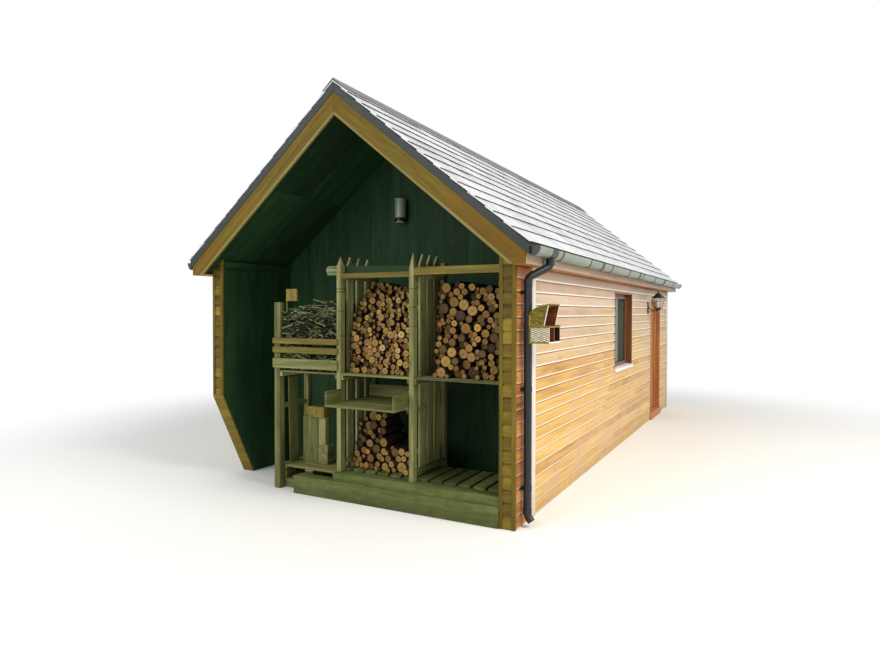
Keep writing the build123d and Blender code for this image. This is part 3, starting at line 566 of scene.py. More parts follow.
KINDS = (
    # Cladding: its paler upper courses are painted sunlight. Its bright board noses are a painted
    # highlight, and its dark grooves are painted shade.
    TimberFinish(
        "cladding", paint(160, 108, 36), paint(208, 160, 70), paint(230, 194, 114), spread=0.36,
        contrast=0.95, knots=0.45, knot_colour=paint(120, 66, 26), coat=0.1, bleach=0.55,
        bleach_colour=paint(208, 164, 132), splash=0.45, splash_colour=paint(128, 100, 48),
        splash_top=0.3, painted_sunlight=0.85, nose=0.95, nose_highlight_colour=paint(246, 240, 226),
        painted_sunlight_dark=paint(150, 128, 108), painted_sunlight_light=paint(198, 188, 170)),
    # Corner boards: a darker copy of the cladding's stain, painted shade from the downpipe. Its bright
    # board noses are a painted highlight.
    TimberFinish(
        "shaded_corner_boards", paint(116, 62, 20), paint(176, 106, 44), paint(210, 150, 80), spread=0.5,
        contrast=0.9, knot_colour=paint(84, 40, 18), coat=0.1, bleach=0.3,
        bleach_colour=paint(206, 150, 104), nose=0.5, nose_highlight_colour=paint(238, 206, 160), shine=0.3),
    TimberFinish(
        "cover_strip", paint(176, 164, 150), paint(212, 204, 194), paint(230, 226, 218), contrast=0.7,
        knots=0.2, knot_colour=paint(150, 110, 80), roughness=0.55, splash=0.4,
        splash_colour=paint(150, 120, 74), splash_top=0.4),
    # Fascia: its pale pinkish beige is painted sunlight on brown-stained boards.
    TimberFinish(
        "fascia", paint(138, 112, 92), paint(178, 156, 134), paint(202, 184, 164), coarse=22.0,
        contrast=0.9, knots=0.3, knot_colour=paint(130, 90, 64), roughness=0.55, bleach=0.3,
        bleach_colour=paint(204, 160, 124), shine=0.3),
    # Pilaster: the cladding's stain darkened to olive-brown, painted shade of the open gable end.
    TimberFinish(
        "shaded_pilaster", paint(62, 48, 8), paint(102, 84, 18), paint(142, 120, 42), spread=0.5, coarse=26.0,
        contrast=0.9, knot_colour=paint(52, 36, 8), roughness=0.6, splash=0.4,
        splash_colour=paint(70, 60, 24), moss=0.3, moss_colour=paint(92, 92, 34), shine=0.2),
    # Stained trim: its dark olive-brown is partly painted shade of the open gable.
    TimberFinish(
        "stained_trim", paint(64, 48, 8), paint(102, 84, 18), paint(134, 114, 44), spread=0.25,
        coarse=20.0, knot_colour=paint(56, 36, 8), roughness=0.55, bleach=0.5,
        bleach_colour=paint(124, 78, 14), moss=0.15, moss_colour=paint(84, 82, 30), shine=0.15),
    TimberFinish(
        "soffit", paint(140, 78, 40), paint(186, 118, 66), paint(214, 152, 100), coarse=20.0,
        contrast=0.9, knot_colour=paint(110, 60, 30), roughness=0.6),
    TimberFinish(
        "pale_edge", paint(94, 82, 38), paint(120, 108, 56), paint(146, 134, 80), spread=0.2, knots=0.2,
        roughness=0.6, shine=0.2),
    TimberFinish(
        "lining", paint(12, 30, 14), paint(22, 50, 25), paint(38, 74, 41), coarse=18.0, contrast=0.9,
        knots=0.2, knot_colour=paint(8, 15, 11), roughness=0.72, relief=0.0008, moss=0.4,
        moss_colour=paint(36, 60, 26), shine=0.22, specks=1.0),
    TimberFinish(
        "rack_timber", paint(62, 62, 34), paint(108, 108, 62), paint(150, 148, 98), spread=0.62,
        coarse=26.0, contrast=1.1, knots=0.6, knot_colour=paint(62, 46, 24), roughness=0.76,
        relief=0.0018, moss=0.3, moss_colour=paint(100, 108, 48), shine=0.3),
    TimberFinish(
        "golden_timber", paint(64, 56, 18), paint(106, 94, 36), paint(144, 130, 62), spread=0.35,
        coarse=26.0, knot_colour=paint(58, 42, 14), roughness=0.7, moss=0.25,
        moss_colour=paint(92, 86, 36), shine=0.25),
    TimberFinish(
        "grey_timber", paint(34, 56, 26), paint(84, 98, 64), paint(166, 170, 122), spread=1.2,
        coarse=26.0, knots=0.3, knot_colour=paint(60, 62, 48), roughness=0.75, shine=0.3),
    TimberFinish(
        "sleeper", paint(46, 52, 22), paint(78, 86, 40), paint(108, 114, 62), spread=0.4, coarse=22.0,
        contrast=1.2, knots=0.5, knot_colour=paint(40, 36, 16), roughness=0.82, relief=0.0026,
        splash=0.6, splash_colour=paint(50, 50, 28), splash_top=0.2, moss=0.55,
        moss_colour=paint(66, 80, 28), shine=0.3),
    TimberFinish(
        "kindling", paint(28, 30, 18), paint(72, 76, 48), paint(136, 140, 98), spread=1.15, coarse=40.0,
        contrast=1.1, knots=0.2, roughness=0.85, shine=0.2),
    TimberFinish(
        "window_paint", paint(70, 36, 16), paint(112, 64, 30), paint(144, 88, 46), spread=0.25,
        coarse=26.0, contrast=0.8, knots=0.2, knot_colour=paint(52, 26, 14), roughness=0.45, coat=0.12),
    TimberFinish(
        "door_stain", paint(126, 74, 36), paint(176, 116, 66), paint(204, 150, 98), spread=0.35,
        contrast=0.9, knot_colour=paint(94, 46, 18), coat=0.12, shine=0.3),
    TimberFinish(
        "sill_paint", paint(206, 204, 196), paint(232, 230, 224), paint(244, 243, 239), spread=0.1,
        coarse=30.0, contrast=0.35, knots=0.05, knot_colour=paint(170, 166, 150), roughness=0.45),
    TimberFinish(
        "floor_boards", paint(110, 82, 50), paint(150, 116, 76), paint(178, 144, 100), spread=0.4,
        coarse=22.0, knots=0.5, roughness=0.7),
    TimberFinish(
        "basketwork", paint(76, 68, 18), paint(112, 102, 34), paint(152, 140, 60), spread=0.5,
        coarse=46.0, contrast=0.8, knots=0.0, roughness=0.72, shine=0.2),
    TimberFinish(
        "nest_dark", paint(20, 14, 10), paint(40, 28, 18), paint(70, 50, 32), coarse=30.0, knots=0.1,
        roughness=0.8, shine=0.2),
    TimberFinish(
        "nest_inside", paint(84, 36, 12), paint(120, 54, 22), paint(150, 78, 38), spread=0.4,
        coarse=30.0, knots=0.1, roughness=0.75),
    # Slate: its pale greys are painted glare of the sky on dark grey slate.
    SlateFinish("slate", paint(158, 160, 166), paint(216, 216, 220), paint(236, 236, 238), 0.26),
    # Slate edge: near black, painted shade on the slates' lower edges.
    MouldedFinish("shaded_slate_edge", paint(24, 26, 30), paint(52, 54, 58), 0.4, 0.8),
    MouldedFinish("ridge", paint(104, 104, 108), paint(150, 150, 152), 0.4, 0.55, pits=0.0015),
    MouldedFinish("verge", paint(9, 26, 20), paint(30, 52, 42), 0.4, 0.55),
    # Gutter: its pale grey-green is partly painted glare on dark plastic like the brackets and pipe.
    MouldedFinish("gutter", paint(110, 124, 112), paint(164, 174, 160), 0.6, 0.32),
    MouldedFinish("bracket", paint(22, 30, 34), paint(58, 68, 70), 0.2, 0.4),
    MouldedFinish("pipe", paint(15, 23, 26), paint(34, 46, 46), 0.3, 0.42),
    MouldedFinish("ironmongery", paint(28, 28, 29), paint(80, 74, 66), 0.25, 0.45, 0.6),
    MouldedFinish("lantern_metal", paint(24, 26, 28), paint(80, 82, 84), 0.25, 0.4, 0.5),
    MouldedFinish("store_light", paint(122, 132, 108), paint(84, 92, 78), 0.5, 0.3),
    MouldedFinish("lamp_bulb", paint(226, 228, 222), paint(180, 180, 168), 0.3, 0.35),
    BarkFinish("bark", paint(26, 21, 15), paint(82, 68, 50)),
    EndGrainFinish(
        "end_grain", paint(116, 66, 28), paint(222, 196, 140),
        (
            (0.0, paint(48, 42, 30)), (0.16, paint(80, 64, 38)), (0.32, paint(132, 98, 48)),
            (0.46, paint(160, 130, 70)), (0.6, paint(138, 110, 74)), (0.74, paint(184, 148, 74)),
            (0.88, paint(176, 152, 102)), (1.0, paint(214, 194, 124)))),
    # Glass: its grey-green tint is partly painted reflection of greenery.
    GlassFinish("glass", paint(70, 88, 76), 0.7),
    GlassFinish("lamp_glass", paint(214, 222, 218), 0.2))


class Finishes:
    """Every finish of the building, made once and kept by name."""

    def __init__(self) -> None:
        """Take up the finishes by name."""
        self.kinds = {kind.name: kind for kind in KINDS}
        self.made: dict[str, Material] = {}

    def get(self, name: str, grain: Grain = Grain.PIECE) -> Material:
        """Return a finish's material, built at its first use.

        Args:
            name: The finish's name.
            grain: Where a timber's grain takes its direction from.

        Returns:
            The material.
        """
        key = f"{name}_{grain.value}"
        if key not in self.made:
            kind = self.kinds[name]
            timber = isinstance(kind, TimberFinish)
            self.made[key] = kind.make(grain) if timber else kind.make()
        return self.made[key]


FINISHES = Finishes()


# Shapes in their own axes
def level(knots: Sequence[Pair], place: float) -> float:
    """Return the height of a bent line through knots at a place along it.

    Args:
        knots: The line's places and heights, in order.
        place: Where it is read.

    Returns:
        The height.
    """
    for (x0, h0), (x1, h1) in zip(knots, knots[1:]):
        if place <= x1:
            return h0 + (h1 - h0) * (place - x0) / (x1 - x0)
    return knots[-1][1]


def ease(part: Solid, width: float, segments: int = 1) -> Solid:
    """Round every edge of a part that is sharp, and return the part.

    Args:
        part: The part.
        width: How far its edges are eased.
        segments: The steps of each eased edge.

    Returns:
        The part.
    """
    if width > 0:
        sharp = [e for e in part.edges if len(e.link_faces) == 2 and e.calc_face_angle(0.0) > 0.35]
        bmesh.ops.bevel(
            part, geom=sharp, offset=width, offset_type="OFFSET", segments=segments, profile=0.5,
            affect="EDGES", clamp_overlap=True, material=-1)
    return part


def cuboid(length: float, width: float, thick: float, bevel: float = 0.0, segments: int = 1) -> Solid:
    """Return a block with a corner at its origin, long in its own X.

    Args:
        length: Its size in X.
        width: Its size in Y.
        thick: Its size in Z.
        bevel: How far its edges are eased.
        segments: The steps of each eased edge.

    Returns:
        The block.
    """
    part = bmesh.new()
    bmesh.ops.create_cube(part, size=1.0)
    shifted(part, (0.5, 0.5, 0.5))
    bmesh.ops.scale(part, verts=part.verts, vec=(length, width, thick))
    return ease(part, bevel, segments)


def shifted(part: Solid, way: Point) -> Solid:
    """Return a part after a straight move."""
    bmesh.ops.translate(part, verts=part.verts, vec=way)
    return part


def grown(part: Solid, edges: list) -> tuple[list, list]:
    """Return the new corners and edges that a part's rim is extruded to."""
    made = bmesh.ops.extrude_edge_only(part, edges=edges)["geom"]
    return (
        [v for v in made if isinstance(v, bmesh.types.BMVert)],
        [e for e in made if isinstance(e, bmesh.types.BMEdge)])


def stand(name: str, data: bpy.types.ID) -> bpy.types.Object:
    """Return a new object in the scene."""
    made = bpy.data.objects.new(name, data)
    bpy.context.scene.collection.objects.link(made)
    return made


def pushed(outline: Iterable[Point], along: Point, bevel: float = 0.0, segments: int = 1) -> Solid:
    """Return the solid of a flat outline pushed along a vector.

    Args:
        outline: The outline's corners.
        along: How far it is pushed.
        bevel: How far its edges are eased.
        segments: The steps of each eased edge.

    Returns:
        The solid.
    """
    part = bmesh.new()
    face = part.faces.new([part.verts.new(p) for p in outline])
    made = bmesh.ops.extrude_face_region(part, geom=[face])["geom"]
    moved = [v for v in made if isinstance(v, bmesh.types.BMVert)]
    bmesh.ops.translate(part, verts=moved, vec=along)
    bmesh.ops.recalc_face_normals(part, faces=part.faces)
    return ease(part, bevel, segments)


def turned(profile: Sequence[Pair], steps: int = 24) -> Solid:
    """Return the solid that a profile of radius and height makes round its own Z.

    Args:
        profile: The pairs of radius and height.
        steps: The sides of the round.

    Returns:
        The solid.
    """
    part = bmesh.new()
    line = [part.verts.new((r, 0.0, z)) for r, z in profile]
    edges = [part.edges.new(pair) for pair in zip(line, line[1:])]
    bmesh.ops.spin(
        part, geom=line + edges, cent=(0, 0, 0), axis=(0, 0, 1), angle=2 * math.pi, steps=steps,
        use_merge=True)
    bmesh.ops.remove_doubles(part, verts=part.verts, dist=1e-6)
    bmesh.ops.recalc_face_normals(part, faces=part.faces)
    return part


def tube(path: Sequence[Sequence[float]], radius: float, sides: int = 16) -> Solid:
    """Return a round bar along a path, closed at both ends.

    Args:
        path: The points of its middle line.
        radius: Its radius.
        sides: The sides of the round.

    Returns:
        The bar.
    """
    part = bmesh.new()
    path = [Vector(point) for point in path]
    directions = []
    for i, point in enumerate(path):
        before = path[max(i - 1, 0)]
        after = path[min(i + 1, len(path) - 1)]
        directions.append((after - before).normalized())
    turn = directions[0].to_track_quat("Z", "Y").to_matrix().to_4x4()
    bmesh.ops.create_circle(
        part, cap_ends=True, segments=sides, radius=radius, matrix=Matrix.Translation(path[0]) @ turn)
    edges = [e for e in part.edges if e.is_boundary or len(e.link_faces) == 1]
    for i in range(1, len(path)):
        turn = directions[i - 1].rotation_difference(directions[i]).to_matrix().to_4x4()
        ring, edges = grown(part, edges)
        move = (Matrix.Translation(path[i]) @ turn @ Matrix.Translation(-path[i - 1]))
        bmesh.ops.transform(part, verts=ring, matrix=move)
    bmesh.ops.edgeloop_fill(part, edges=edges)
    bmesh.ops.recalc_face_normals(part, faces=part.faces)
    return part


def cut(part: Solid, point: Point, outward: Point) -> Solid:
    """Return a closed part without what lies outward of a plane.

    Args:
        part: The part, which is changed.
        point: A point of the plane.
        outward: The side that is cut off.

    Returns:
        The part.
    """
    every = list(part.verts) + list(part.edges) + list(part.faces)
    made = bmesh.ops.bisect_plane(
        part, geom=every, dist=1e-6, plane_co=point, plane_no=outward, clear_outer=True)
    rim = [e for e in made["geom_cut"] if isinstance(e, bmesh.types.BMEdge)]
    if rim:
        bmesh.ops.holes_fill(part, edges=rim)
        bmesh.ops.recalc_face_normals(part, faces=part.faces)
    return part


def mirrored(part: Solid) -> Solid:
    """Return a copy of a part on the other side of the ridge."""
    other = part.copy()
    bmesh.ops.scale(other, verts=other.verts, vec=(-1, 1, 1))
    bmesh.ops.reverse_faces(other, faces=other.faces)
    return other


def rounded(path: Sequence[Point], radius: float, steps: int = 6) -> list[Vector]:
    """Return a path of straight runs with its inner corners turned on an arc.

    Args:
        path: Its corners.
        radius: How far from a corner each arc starts.
        steps: The steps of each arc.

    Returns:
        The points.
    """
    path = [Vector(point) for point in path]
    made = [path[0]]
    for before, corner, after in zip(path, path[1:], path[2:]):
        back = (before - corner).normalized()
        on = (after - corner).normalized()
        start = corner + back * radius
        end = corner + on * radius
        for i in range(steps + 1):
            t = i / steps
            made.append(start.lerp(corner, t).lerp(corner.lerp(end, t), t))
    made.append(path[-1])
    return made


class Assembly:
    """Gathers parts into one mesh object of the building."""

    def __init__(self, name: str, seed: int, *finishes: str | Material) -> None:
        """Start an empty piece.

        Args:
            name: The piece's name.
            seed: What the parts' tones and grain are drawn from.
            finishes: Its finishes or materials, which parts name by number.
        """
        self.name = name
        self.finishes = [FINISHES.get(f) if isinstance(f, str) else f for f in finishes]
        self.chance = random.Random(seed)
        self.whole = bmesh.new()
        self.whole.verts.layers.float_vector.new("grain")
        self.whole.verts.layers.float.new("tone")
        self.carrier = bpy.data.meshes.new(f"{name}_part")

    def add(
            self, part: Solid, place: Matrix | None = None, finish: int | None = 0,
            tone: float | None = None, shift: bool = True) -> None:
        """Set a part into the piece.

        Args:
            part: The part in its own axes. It is freed.
            place: Where it goes, or None for axes that only need the frame's shift.
            finish: The number of its finish, or None to keep what its faces say.
            tone: How light it is from 0 to 1, or None for a drawn one.
            shift: Whether its grain starts at a drawn place.
        """
        grain = part.verts.layers.float_vector.new("grain")
        shade = part.verts.layers.float.new("tone")
        away = Vector(
            (
                self.chance.uniform(0, 40), self.chance.uniform(0, 9),
                self.chance.uniform(0, 9))) if shift else Vector()
        light = self.chance.random() if tone is None else tone
        for vertex in part.verts:
            vertex[grain] = vertex.co + away
            vertex[shade] = light
        if finish is not None:
            for face in part.faces:
                face.material_index = finish
        move = Matrix.Translation((0, Y_SHIFT, 0)) if place is None else place
        bmesh.ops.transform(part, verts=part.verts, matrix=move)
        part.to_mesh(self.carrier)
        self.whole.from_mesh(self.carrier)
        part.free()

    def timber(
            self, x: Pair, y: Pair, z: Pair, bevel: float = 0.0015, finish: int = 0,
            tone: float | None = None, segments: int = 1, grain: Grain | None = None) -> None:
        """Set a straight timber that fills a box.

        Args:
            x: Its two sides, in any order, like the next two pairs.
            y: Its two depths from the open end.
            z: Its two heights.
            bevel: How far its edges are eased.
            finish: The number of its finish.
            tone: How light it is, or None for a drawn one.
            segments: The steps of each eased edge.
            grain: The axis that its grain follows, or None for its longest side.
        """
        sides = [sorted(side) for side in (x, y, z)]
        sizes = [high - low for low, high in sides]
        first = "xyz".index(grain.value) if grain else sizes.index(max(sizes))
        second = (first + 1) % 3
        part = cuboid(sizes[first], sizes[second], sizes[(first + 2) % 3], bevel, segments)
        ways = (X_AXIS, Y_AXIS, Z_AXIS)
        place = axes([low for low, _ in sides], ways[first], ways[second])
        self.add(part, place, finish, tone)

    def row(
            self, count: int, x: Pair, y: Pair, gap: float, z: Pair, bevel: float = 0.0015,
            tone: float | None = None) -> None:
        """Set boards that lie across the building, one behind another, with gaps.

        Args:
            count: How many boards.
            x: Their two ends.
            y: The first one's front and the last gap's back.
            gap: What is left open behind each.
            z: Their two heights.
            bevel: How far their edges are eased.
            tone: How light they are, or None for drawn ones.
        """
        step = (y[1] - y[0]) / count
        for i in range(count):
            at = y[0] + i * step
            self.timber(x, (at, at + step - gap), z, bevel, tone=tone)

    def turn(self, profile: Sequence[Pair], steps: int, spot: Point, finish: int = 0) -> None:
        """Set a turned part at a spot."""
        self.add(shifted(turned(profile, steps), spot), finish=finish)

    def close(
            self, slot: str, replaces: Sequence[str] = (), body: str = "root",
            smooth: float = 32.0) -> bpy.types.Object:
        """Make the object, set it on its body and report it.

        Args:
            slot: The record's material slot, or "" for none. It is not used.
            replaces: The CAD nodes that it stands for.
            body: The CAD body that it rides on.
            smooth: Edges flatter than this many degrees are shaded smooth.

        Returns:
            The object.
        """
        mesh = bpy.data.meshes.new(self.name)
        self.whole.to_mesh(mesh)
        self.whole.free()
        bpy.data.meshes.remove(self.carrier)
        for material in self.finishes:
            mesh.materials.append(material)
        mesh.shade_smooth()
        mesh.set_sharp_from_angle(angle=math.radians(smooth))
        piece = stand(self.name, mesh)
        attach(piece, body)
        if replaces:
            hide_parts(*replaces)
        LOG.info("%s: %d faces", self.name, len(mesh.polygons))
        return piece


def dress(node: str, finish: Material) -> None:
    """Give a CAD node that stays its finish."""
    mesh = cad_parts[node].data
    mesh.materials.clear()
    mesh.materials.append(finish)
    LOG.info("%s: dressed", node)


# Walls
@dataclass
class WallCores:
    """The walls behind the cladding, lined inside, from the CAD walls."""

    nodes: tuple[str, ...] = (
        "wall_right_store", "wall_right_room", "wall_over_door", "wall_right_rear", "wall_left_store",
        "wall_left_room", "wall_rear_gable")

    def build(self) -> None:
        """Build one piece for each wall, with room for the cladding on its outside."""
        for node in self.nodes:
            part = bmesh.new()
            part.from_mesh(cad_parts[node].data)
            bmesh.ops.remove_doubles(part, verts=part.verts, dist=1e-5)
            bmesh.ops.dissolve_limit(part, angle_limit=0.02, verts=part.verts, edges=part.edges)
            shifted(part, (0, -Y_SHIFT, 0))
            for vertex in part.verts:
                if abs(vertex.co.x) > HALF - 0.002:
                    vertex.co.x -= math.copysign(CORE_BACK, vertex.co.x)
                if vertex.co.y > LENGTH - 0.002:
                    vertex.co.y -= CORE_BACK
                if vertex.co.y < TRIM_T + 0.002 and "store" in node:
                    vertex.co.y += CORE_BACK - 0.004
            piece = Assembly(f"core_{node}", 3, FINISHES.get("lining", Grain.Z))
            piece.add(part, shift=False)
            piece.close("lining", [node])


@dataclass
class Loglap:
    """One loglap board: how far its face stands out at each height of a course."""

    back: float = -0.021
    nose: tuple[Pair, ...] = (
        (0.0, -0.007), (0.0016, -0.003), (0.006, -0.0006), (0.018, 0.0), (0.056, -0.0004),
        (0.08, -0.0024), (0.094, -0.0056), (0.101, -0.0088), (0.1026, -0.013), (COVER, -0.013))

    def board(self, length: float, low: float = 0.0, high: float = COVER) -> Solid:
        """Return a length of board, long in its own X, up in Y and out in Z.

        Args:
            length: How long it is.
            low: The height in the course that it is cut off below.
            high: The height in the course that it is cut off above.

        Returns:
            The board.
        """
        outline = [(0.0, up, out) for up, out in self.nose]
        outline += [(0.0, COVER, self.back), (0.0, 0.0, self.back)]
        part = pushed(outline, (length, 0, 0))
        if low > 0:
            cut(part, (0, low, 0), (0, -1, 0))
        if high < COVER:
            cut(part, (0, high, 0), (0, 1, 0))
        return part


@dataclass
class CladFace:
    """The boards on one face of a wall."""

    name: str
    origin: Point
    along: Vector
    length: float
    top: float
    openings: tuple[Box, ...] = ()
    seed: int = 11
    slopes: bool = False
    first: float = 0.0
    corner: bool = False
    joint: float = 0.0008
    loglap: Loglap = field(default_factory=Loglap)

    def spans(self, low: float, high: float) -> list[Box]:
        """Return a course's lengths between openings, and the heights each keeps.

        Args:
            low: The course's lower edge.
            high: Its upper edge.

        Returns:
            The start, end and two heights above the lower edge of each length.
        """
        edges = sorted(
            {
                0.0, self.length,
                *(e for o in self.openings for e in o[:2] if o[2] < high and o[3] > low)})
        kept = []
        for start, end in zip(edges, edges[1:]):
            middle = (start + end) / 2
            floor, roof = low, high
            for a0, a1, z0, z1 in self.openings:
                if a0 < middle < a1 and z0 < high and z1 > low:
                    if z0 > low:
                        roof = min(roof, z0)
                    elif z1 < high:
                        floor = max(floor, z1)
                    else:
                        roof = floor
            if roof - floor > 0.004:
                kept.append((start, end, floor - low, roof - low))
        return kept

    def fill(self, piece: Assembly) -> None:
        """Set the boards, with butt joints, into a piece."""
        courses = math.ceil(self.top / COVER)
        for course in range(courses):
            low = course * COVER
            high = min(low + COVER, self.top)
            for start, end, floor, roof in self.spans(low, high):
                at = start
                while at < end - 0.01:
                    run = piece.chance.uniform(2.6, 4.9)
                    stop = end if end - at - run < 0.7 else at + run
                    # Boards before first take the second finish, the darker corner boards: painted
                    # shade from the downpipe.
                    short = at < self.first
                    if short:
                        stop = self.first
                    self.one(piece, at, stop, low, (floor, roof), int(short))
                    at = stop

    def one(
            self, piece: Assembly, start: float, stop: float, low: float, keep: Pair,
            finish: int) -> None:
        """Set one board between two butt joints.

        Args:
            piece: The piece that it goes into.
            start: Where it starts along the face.
            stop: Where it ends.
            low: The height of its course.
            keep: The heights in the course that it keeps.
            finish: The number of its finish.
        """
        up = self.origin[2] + low
        part = self.loglap.board(stop - start - self.joint, *keep)
        if self.slopes:
            middle = self.length / 2 - start
            for side in (1, -1):
                reach = (roof_z(0, ROOF_T) - up) / TAN
                spot = (middle + side * reach, 0, 0)
                cut(part, spot, (side * SIN, COS, 0))
        if self.corner and up < CUT_TOP:
            foot = self.length - CUT_FOOT - start
            cut(part, (foot, -up, 0), (CUT_TOP, CUT_FOOT - TRIM_T, 0))
        if len(part.faces) < 4:
            part.free()
            return
        place = axes(Vector(self.origin) + self.along * start + Z_AXIS * low, self.along, Z_AXIS)
        piece.add(part, place, finish)


@dataclass
class Cladding:
    """All the boarded faces of the building."""

    front: float = 0.006

    def build(self) -> None:
        """Build the boards of each face as a piece of its own."""
        top = SOFFIT_Z - SOFFIT_T
        right = CladFace(
            "cladding_right", (HALF, self.front, 0), Y_AXIS, LENGTH - self.front, top,
            (
                (WINDOW_Y0 - self.front, WINDOW_Y1 - self.front, WINDOW_Z0, WINDOW_Z1),
                (DOOR_Y0 - self.front, DOOR_Y1 - self.front, -1.0, DOOR_HEAD)),
            11, first=0.42 - self.front)
        left = CladFace(
            "cladding_left", (-HALF, LENGTH, 0), -Y_AXIS, LENGTH - self.front, top, (), 12, corner=True)
        rear = CladFace(
            "cladding_rear", (HALF, LENGTH, 0), -X_AXIS, WIDTH, APEX - 0.3, (), 13, slopes=True)
        for face in (right, left, rear):
            piece = Assembly(face.name, face.seed, "cladding", "shaded_corner_boards")
            face.fill(piece)
            piece.close("cladding")


@dataclass
class Pilasters:
    """The ends of the two side walls: short boards between upright strips."""

    strip_in: float = 0.033
    strip_out: float = 0.035
    inset: float = 0.0045
    back: float = 0.03

    def build(self) -> None:
        """Build the strips and the short boards."""
        # Both pieces take the darker pilaster finish: painted shade of the open gable end.
        trims = Assembly("shaded_pilaster_strips", 21, "shaded_pilaster")
        boards = Assembly("shaded_pilaster_boards", 22, "shaded_pilaster")
        for side, low in ((1, 0.0), (-1, CUT_TOP)):
            for x0, x1 in ((INNER, INNER + self.strip_in), (HALF - self.strip_out, HALF)):
                outline = [
                    (low, side * x0, 0), (low, side * x1, 0), (roof_z(x1, ROOF_T), side * x1, 0),
                    (roof_z(x0, ROOF_T), side * x0, 0)]
                part = pushed(outline, (0, 0, self.back), 0.0015)
                trims.add(part, axes((0, 0, 0), Z_AXIS, X_AXIS))
            left = INNER + self.strip_in if side > 0 else -(HALF - self.strip_out)
            width = WALL_T - self.strip_in - self.strip_out
            for course in range(COURSES + 2):
                floor = course * COVER
                if floor + COVER < low + 0.01:
                    continue
                part = Loglap().board(width, max(low - floor, 0.0))
                if roof_z(HALF - self.strip_out, ROOF_T) - floor < COVER + 0.05:
                    height = roof_z(INNER, ROOF_T) - floor
                    cut(part, (side * INNER - left, height, 0), (side * SIN, COS, 0))
                if len(part.faces) < 4:
                    part.free()
                    continue
                boards.add(part, axes((left, self.inset, floor), X_AXIS, Z_AXIS))
        self.cut_corner(trims)
        trims.close("stained_trim", ["end_trims"])
        boards.close("cladding")

    def cut_corner(self, trims: Assembly) -> None:
        """Set the board that closes the left wall's cut corner."""
        run = CUT_FOOT - TRIM_T
        length = math.hypot(CUT_TOP, run)
        along = Vector((0, run / length, -CUT_TOP / length))
        part = cuboid(length - 0.002, WALL_T, 0.019, 0.0015)
        start = Vector((-HALF, TRIM_T, CUT_TOP))
        place = axes(start, along, X_AXIS)
        shift = Matrix.Translation((0, -Y_SHIFT, 0))
        bmesh.ops.transform(part, verts=part.verts, matrix=shift @ place)
        cut(part, (0, 0, 0), (0, 0, -1))
        trims.add(part)


@dataclass
class CornerTrims:
    """The cover strip on the right wall and the corner boards at the rear."""

    strip: Pair = (0.375, 0.465)
    corner: float = 0.09

    def build(self) -> None:
        """Build them all as one piece."""
        low = SOFFIT_Z - SOFFIT_T
        piece = Assembly("wall_strips", 31, "cover_strip")
        back = 0.013
        piece.timber((HALF - back, HALF + TRIM_T), self.strip, (0, low), 0.002, tone=0.75)
        for side in (1, -1):
            piece.timber(
                (side * (HALF - back), side * (HALF + TRIM_T)), (LENGTH - self.corner, LENGTH + TRIM_T),
                (0, low), 0.002)
            piece.timber(
                (side * (HALF - self.corner), side * (HALF - back)), (LENGTH - back, LENGTH + TRIM_T),
                (0, low), 0.002)
        piece.close("stained_trim", ["wall_trims"])


@dataclass
class Lining:
    """The dark boarded lining of the open bay, in sheets with fine joints."""

    sheet: float = 0.006
    gap: float = 0.002

    def build(self) -> None:
        """Build the sheets on the partition, the walls and under the roof."""
        piece = Assembly("store_lining", 41, "lining")
        top = roof_z(0, ROOF_T)
        marks = (-INNER, -1.02, -0.41, 0.2, 0.81, 1.42, INNER)
        for x0, x1 in zip(marks, marks[1:]):
            self.partition_sheet(piece, x0, x1, top)
        for x0, x1 in ((-INNER, -INNER + self.sheet), (INNER - self.sheet, INNER)):
            for y0, y1 in ((0.034, 0.56), (0.56, STORE_DEPTH - self.sheet)):
                part = cuboid(roof_z(INNER, ROOF_T) - 0.012, y1 - y0 - self.gap, self.sheet, 0.0008)
                if x0 < 0:
                    cut(part, (0.0, CUT_FOOT - y0, 0), (-(CUT_FOOT - TRIM_T), -CUT_TOP, 0))
                piece.add(
                    part, axes((x0, y0, 0.004), Z_AXIS, Y_AXIS)
                    @ Matrix.Translation((0, 0, -self.sheet)))
        for side in (1, -1):
            self.roof_sheets(piece, side)
        self.rails(piece)
        piece.close("lining")

    def partition_sheet(self, piece: Assembly, x0: float, x1: float, top: float) -> None:
        """Set one upright sheet on the partition, cut to the roof's slope.

        Args:
            piece: The piece that it goes into.
            x0: Its left edge.
            x1: Its right edge.
            top: The height under the ridge.
        """
        width = x1 - x0 - self.gap
        part = cuboid(top, width, self.sheet, 0.0)
        for side in (1, -1):
            cut(part, (top - 0.01, -x0, 0), (COS, side * SIN, 0))
        ease(part, 0.0008)
        piece.add(
            part, axes((x0, STORE_DEPTH, 0.004), Z_AXIS, X_AXIS)
            @ Matrix.Translation((0, 0, -self.sheet)))

    def roof_sheets(self, piece: Assembly, side: int) -> None:
        """Set the sheets under one slope of the roof."""
        along = Vector((side * COS, 0, -SIN))
        length = INNER / COS
        under = Vector((0, -GABLE_BACK, roof_z(0, ROOF_T)))
        for s0, s1 in ((0.01, 1.06), (1.06, length - 0.004)):
            for y0, y1 in ((0.0, 0.58), (0.58, STORE_DEPTH + GABLE_BACK - self.sheet)):
                part = cuboid(s1 - s0 - self.gap, y1 - y0 - self.gap, self.sheet, 0.0008)
                place = axes(under + along * s0 + Y_AXIS * y0, along, Y_AXIS)
                if side > 0:
                    place = place @ Matrix.Translation((0, 0, -self.sheet))
                piece.add(part, place)

    def rails(self, piece: Assembly) -> None:
        """Set the rails where the walls meet the roof."""
        high = roof_z(INNER, ROOF_T) - 0.022
        for side in (1, -1):
            piece.timber(
                (side * (INNER - self.sheet), side * (INNER - 0.034)),
                (0.034, STORE_DEPTH - self.sheet), (high - 0.07, high - 0.004), 0.002, tone=0.85)


